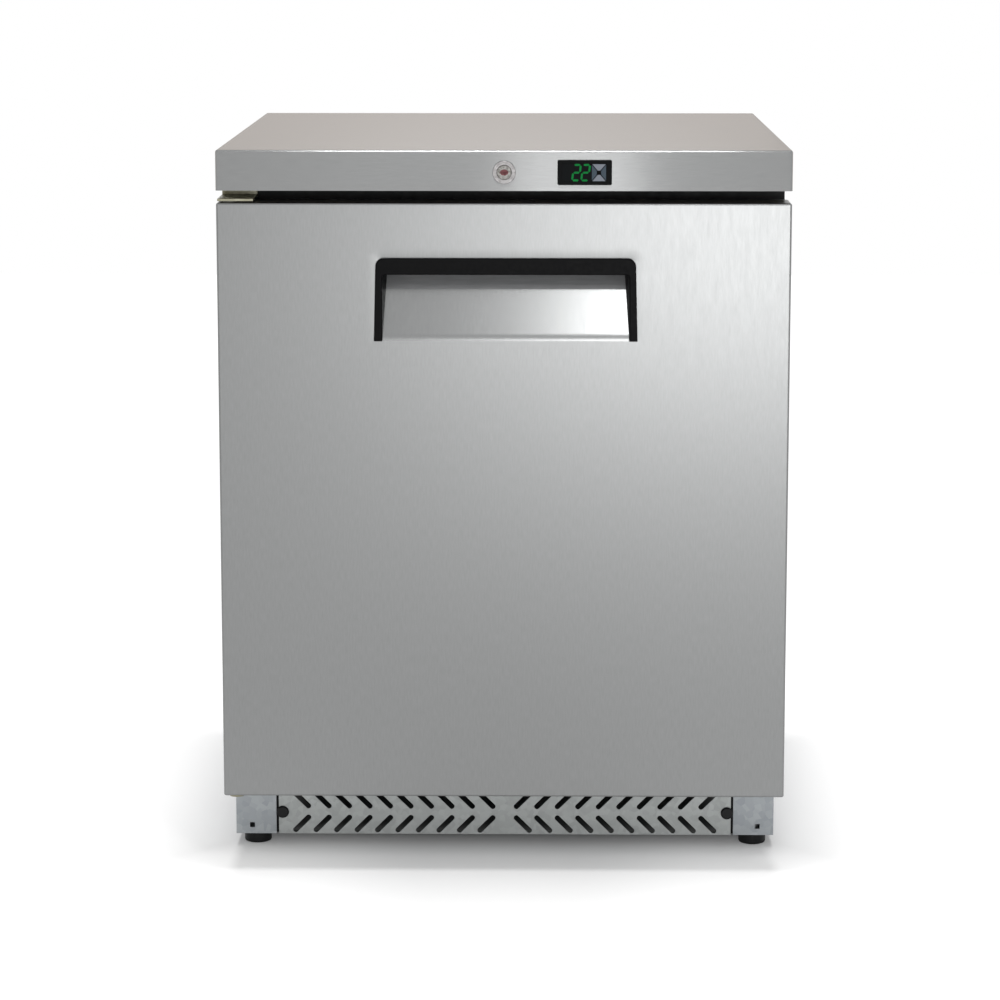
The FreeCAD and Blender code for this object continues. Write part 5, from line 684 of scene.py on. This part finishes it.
rings = [[Vector((x, FRONT + back, z)) for x, z in outline]
         for outline, back in fold_lines((-DOOR_X, DOOR_BOTTOM), (DOOR_X, DOOR_TOP), DOOR_FOLD)]
rings.append([Vector((p.x, DOOR_SKIN_BACK, p.z)) for p in rings[-1]])
door = bmesh.new()
join_rings(door, rings)
face_x = DOOR_X - DOOR_FOLD
strike_low, strike_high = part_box("lock_strike")
take_out(door, 2, DOOR_TOP)
fill_flat(
    door,
    level((-face_x, face_x), (FRONT + DOOR_FOLD, DOOR_SKIN_BACK), DOOR_TOP),
    level((strike_low.x, strike_high.x), (strike_low.y, strike_high.y), DOOR_TOP),
)
hole_x = HANDLE_OPENING + HOLE_MARGIN
dish = []
for k in range(DRAWN_STEPS + 1):
    inwards = k / DRAWN_STEPS
    outward = DRAWN_WIDTH * (1 - inwards)
    outline = rounded(
        (HANDLE_X - hole_x - outward, HANDLE_BOTTOM - outward),
        (HANDLE_X + hole_x + outward, CEILING + HOLE_MARGIN + outward),
        HOLE_CORNER + outward,
    )
    ring = []
    for x, z in outline:
        reached = min(1, max(0, (z - HANDLE_BOTTOM) / DRAWN_FADE))
        ring.append(Vector((x, FRONT + DRAWN_IN * inwards ** 2 * reached, z)))
    dish.append(ring)
join_rings(door, dish)
fill_flat(
    door,
    frontal((-face_x, face_x), (DOOR_BOTTOM + DOOR_FOLD, DOOR_TOP - DOOR_FOLD), FRONT),
    dish[0],
)
piece(door, "door_face", stainless, "door", "stainless", "door_skin", wall=DOOR_SHEET)
dressed("door_foam", "door_core", foam)
dressed("door_liner", "door_inner_sheet", white_plastic, 0.0008)
dressed("lock_strike", "strike_box", black_plastic)
gasket_grey = look("gasket_grey", tone(150, 152, 154), 0.6, 0.0, 0.3)
tint(gasket_grey, noise(gasket_grey, (20, 20, 20)), tone(144, 146, 148), tone(156, 158, 160))
relief(gasket_grey, noise(gasket_grey, (700, 700, 700), 3), 0.00004)
dressed("door_gasket", "magnetic_gasket", gasket_grey, 0.0005)

# ---- Handle
# A black moulded frame let into the door's face, its bar a lip to pull on. Behind it the
# pocket has black walls and a stainless scoop that slopes back from the door's face, with
# a strip over it that turns forward under the bar, coloured a duller grey as painted shade
# and reflection of the bar.
HANDLE_PROUD = 0.004
HANDLE_LET_IN = 0.002
HALF_TOP, HALF_BOTTOM = 0.1491, 0.1512
BAR_BOTTOM = 0.7075
CORNER = 0.0095
INNER_CORNER = 0.003
HANDLE_ROUND = 0.0018
outer_z = HANDLE_TOP - CORNER
inner_x, inner_z = HANDLE_OPENING - INNER_CORNER, BAR_BOTTOM - INNER_CORNER
frame_line = [
    (-HALF_BOTTOM, HANDLE_BOTTOM),
    *arc(-HALF_TOP + CORNER, outer_z, CORNER, 180, 90, 8),
    *arc(HALF_TOP - CORNER, outer_z, CORNER, 90, 0, 8),
    (HALF_BOTTOM, HANDLE_BOTTOM),
    (HANDLE_OPENING, HANDLE_BOTTOM),
    *arc(inner_x, inner_z, INNER_CORNER, 0, 90, 4),
    *arc(-inner_x, inner_z, INNER_CORNER, 90, 180, 4),
    (-HANDLE_OPENING, HANDLE_BOTTOM),
]
handle_front = FRONT - HANDLE_PROUD
grip = bmesh.new()
pushed_back(grip, [(HANDLE_X + x, handle_front, z) for x, z in frame_line], HANDLE_PROUD + HANDLE_LET_IN)
front_rims = [e for e in grip.edges if all(abs(v.co.y - handle_front) < 1e-6 for v in e.verts)]
rims = [e for e in front_rims if any(abs(v.co.z - HANDLE_BOTTOM) > 1e-6 for v in e.verts)]
bmesh.ops.bevel(grip, geom=rims, offset=HANDLE_ROUND, affect="EDGES", segments=5, profile=0.5,
                material=-1)
handle_black = look("handle_black", tone(7, 7, 8), 0.4, 0.0, 0.06)
gloss(handle_black, noise(handle_black, (250, 250, 250)), 0.36, 0.5)
relief(handle_black, noise(handle_black, (1500, 1500, 1500), 3), 0.00002)
piece(grip, "handle_frame", handle_black, "door", "black_plastic", "handle_bezel", fold=40)

DEPTH = 0.035
NARROWER = 0.0055            # each side at the back of the pocket
POCKET_WALL = 0.0006


def pocket_side(side, y, z):
    """A point on the pocket's left or right wall, which leans in with depth."""
    return Vector((HANDLE_X + side * (HANDLE_OPENING - NARROWER * (y - FRONT) / DEPTH), y, z))


def pocket_sheet(line):
    """A sheet from side to side of the pocket that follows a line of (y, z) points."""
    bm = bmesh.new()
    start = [bm.verts.new(pocket_side(-1, y, z)) for y, z in line]
    edges = [bm.edges.new(pair) for pair in zip(start, start[1:])]
    pulled = bmesh.ops.extrude_edge_only(bm, edges=edges)
    for v in new_points(pulled):
        v.co = pocket_side(1, v.co.y, v.co.z)
    return bm


def thicken(bm):
    """A wall behind a sheet of the pocket, whose faces first turn to its opening."""
    bm.normal_update()
    opening = Vector((HANDLE_X, FRONT, (HANDLE_BOTTOM + BAR_BOTTOM) / 2))
    away = [f for f in bm.faces if f.normal.dot(opening - f.calc_center_median()) < 0]
    bmesh.ops.reverse_faces(bm, faces=away)
    bm.normal_update()
    bmesh.ops.solidify(bm, geom=bm.faces, thickness=POCKET_WALL)


walls = bmesh.new()
for side in (-1, 1):
    corners = ((FRONT, HANDLE_BOTTOM), (FRONT, CEILING), (FRONT + DEPTH, CEILING),
               (FRONT + DEPTH, HANDLE_BOTTOM))
    walls.faces.new([walls.verts.new(pocket_side(side, y, z)) for y, z in corners])
thicken(walls)
piece(walls, "handle_pocket_walls", handle_black, "door", "black_plastic")

BLEND = 0.010                # height of the bend at the scoop's foot
STRIP_BOTTOM = 0.6885
LIP_BACK = 0.0028
LIP_BOTTOM = BAR_BOTTOM + 0.001
bend = math.pi / 2 - math.atan2(CEILING - HANDLE_BOTTOM - BLEND / 2, DEPTH)
radius = BLEND / 2 / math.tan(bend / 2)
scoop_line = arc(FRONT + radius, HANDLE_BOTTOM, radius, 180, 180 - math.degrees(bend), 12)
bend_y, bend_z = scoop_line[-1]
share = (STRIP_BOTTOM - bend_z) / (CEILING - bend_z)
strip_foot = (bend_y + share * (FRONT + DEPTH - bend_y), STRIP_BOTTOM)
scoop = pocket_sheet(scoop_line + [strip_foot])
strip = pocket_sheet([strip_foot, (FRONT + DEPTH, CEILING), (FRONT + LIP_BACK, CEILING),
                      (FRONT + LIP_BACK, LIP_BOTTOM)])
thicken(strip)
# The strip's dull grey is painted shade and reflection: it stands in for the bar's shadow and mirror image on
# the top of the scoop.
scoop_shade_grey = look("scoop_shade_grey", tone(118, 119, 120), 0.45, 0.3, 0.4)
tint(scoop_shade_grey, noise(scoop_shade_grey, (40, 40, 400)), tone(113, 114, 115), tone(122, 123, 124))
gloss(scoop_shade_grey, noise(scoop_shade_grey, (200, 200, 200)), 0.4, 0.52)
piece(strip, "handle_scoop_shade_strip", scoop_shade_grey, "door", "stainless")
thicken(scoop)
scoop_steel = brushed("scoop_steel", tone(133, 134, 134), 0.265, 0.25, 0.25, (600, 80, 1))
piece(scoop, "handle_scoop_plate", scoop_steel, "door", "stainless", "handle_scoop")

# ---- Floor, light and camera
# A pale studio, white all round, with a floor that brightens away from the object. Soft
# lamps to the right and over the camera give the door and the scoop their sheen, three
# more light only the worktop, and a large one overhead lays the shadow.
FLOOR_REACH = 6
floor = bmesh.new()
bmesh.ops.create_grid(floor, x_segments=1, y_segments=1, size=FLOOR_REACH)
mesh = bpy.data.meshes.new("floor")
floor.to_mesh(mesh)
floor.free()
ground = bpy.data.objects.new("floor", mesh)
bpy.context.scene.collection.objects.link(ground)
paper = bpy.data.materials.new("paper")
paper.use_nodes = True
tree = paper.node_tree
tree.nodes.clear()


def reckon(operation, *inputs):
    """A Math node on numbers or other nodes' outputs."""
    made = tree.nodes.new("ShaderNodeMath")
    made.operation = operation
    for i, value in enumerate(inputs):
        if isinstance(value, (int, float)):
            made.inputs[i].default_value = value
        else:
            tree.links.new(value, made.inputs[i])
    return made.outputs[0]


def fade(signal, start, end, most):
    """Nothing up to start, rising smoothly to the most at end."""
    made = tree.nodes.new("ShaderNodeMapRange")
    made.interpolation_type = "SMOOTHSTEP"
    made.inputs["From Min"].default_value = start
    made.inputs["From Max"].default_value = end
    made.inputs["To Max"].default_value = most
    tree.links.new(signal, made.inputs["Value"])
    return made.outputs["Result"]


where = tree.nodes.new("ShaderNodeTexCoord")
split = tree.nodes.new("ShaderNodeSeparateXYZ")
tree.links.new(where.outputs["Object"], split.inputs["Vector"])
beside = reckon("SUBTRACT", reckon("ABSOLUTE", split.outputs["X"]), 0.30)
before = reckon("SUBTRACT", reckon("ABSOLUTE", split.outputs["Y"]), 0.19)
away = reckon("MAXIMUM", beside, before)
# Painted shadow on the floor: its colour is darker under the cabinet, and its glow is none beneath it and
# lighter towards the sides of the front, giving the shadow its outline.
matt = tree.nodes.new("ShaderNodeBsdfDiffuse")
tree.links.new(reckon("ADD", fade(away, -0.03, 0.015, 0.6), 0.2), matt.inputs["Color"])
glow = tree.nodes.new("ShaderNodeEmission")
glow.inputs["Color"].default_value = (1, 1, 1, 1)
near_level = reckon("ADD", fade(reckon("ABSOLUTE", split.outputs["X"]), 0.08, 0.26, 0.12), 0.23)
near = reckon("MULTIPLY", fade(away, -0.06, 0.15, 1.0), near_level)
near = reckon("SUBTRACT", near, fade(away, 0.4, 0.9, 0.12))
bright = reckon("ADD", near, fade(away, 0.9, 5.5, 0.42))
tree.links.new(bright, glow.inputs["Strength"])
both = tree.nodes.new("ShaderNodeAddShader")
out = tree.nodes.new("ShaderNodeOutputMaterial")
tree.links.new(matt.outputs[0], both.inputs[0])
tree.links.new(glow.outputs[0], both.inputs[1])
tree.links.new(both.outputs[0], out.inputs["Surface"])
mesh.materials.append(paper)

world = bpy.data.worlds.new("studio")
bpy.context.scene.world = world
world.use_nodes = True
tree = world.node_tree
sky = tree.nodes["Background"]
sky.inputs["Color"].default_value = (1, 1, 1, 1)
rays = tree.nodes.new("ShaderNodeLightPath")
seen = tree.nodes.new("ShaderNodeMath")
seen.operation = "MAXIMUM"
tree.links.new(rays.outputs["Is Camera Ray"], seen.inputs[0])
tree.links.new(rays.outputs["Is Glossy Ray"], seen.inputs[1])
seen_too = tree.nodes.new("ShaderNodeMath")
seen_too.operation = "MAXIMUM"
tree.links.new(seen.outputs[0], seen_too.inputs[0])
tree.links.new(rays.outputs["Is Transmission Ray"], seen_too.inputs[1])
dimmer = tree.nodes.new("ShaderNodeMapRange")
dimmer.inputs["To Min"].default_value = 0.45
dimmer.inputs["To Max"].default_value = 1.0
tree.links.new(seen_too.outputs[0], dimmer.inputs["Value"])
tree.links.new(dimmer.outputs["Result"], sky.inputs["Strength"])


def lamp(name, place, aim, size, power, lit=None):
    """A soft rectangular lamp, not seen itself, that lights all or what a collection says."""
    light = bpy.data.lights.new(name, "AREA")
    light.shape = "RECTANGLE"
    light.size, light.size_y = size
    light.energy = power
    made = bpy.data.objects.new(name, light)
    bpy.context.scene.collection.objects.link(made)
    made.location = place
    made.rotation_euler = (Vector(aim) - Vector(place)).to_track_quat("-Z", "Y").to_euler()
    made.visible_camera = False
    made.light_linking.receiver_collection = lit
    return made


all_but_top = bpy.data.collections.new("all_but_top")
only_top = bpy.data.collections.new("only_top")
for part in (worktop, front_hem):
    only_top.objects.link(part)
for part in (worktop, front_hem, lock_rose, lock_plug, key_insert, key_shutter, controller, window):
    all_but_top.objects.link(part)
for linked in all_but_top.collection_objects:
    linked.light_linking.link_state = "EXCLUDE"
lamp("door_lamp", (0.5, -3.3, 0.5), (0, -0.34, 0.65), (0.9, 0.5), 15.7, all_but_top)
lamp("scoop_lamp", (0.238, -1.54, 1.52), (0.19, -0.34, 0.66), (0.195, 0.4), 3.6, all_but_top)
lamp("band_lamp", (0.098, -1.9, 0.60), (0.1, -0.34, 0.83), (0.21, 0.3), 0.88, only_top)
lamp("rear_lamp", (-0.6, 3.2, 1.35), (0, 0, 0.85), (2.4, 0.6), 1.07, only_top)
lamp("edge_lamp", (0.0, -1.5, 3.0), (0, -0.34, 0.85), (0.8, 0.3), 34.0, only_top)
overhead = lamp("overhead_lamp", (0, -0.15, 6.0), (0, -0.15, 0), (2.6, 2.6), 260)
overhead.visible_glossy = False

camera = bpy.data.cameras.new("camera")
camera.lens = 115.74
camera.sensor_width = 36
camera.shift_y = -0.07
eye = bpy.data.objects.new("camera", camera)
bpy.context.scene.collection.objects.link(eye)
eye.location = (0.0428, -4.0023, 1.1153)
eye.rotation_euler = (math.radians(90 - 9.122), 0, math.radians(0.736))
bpy.context.scene.camera = eye
bpy.context.scene.view_settings.view_transform = "Standard"
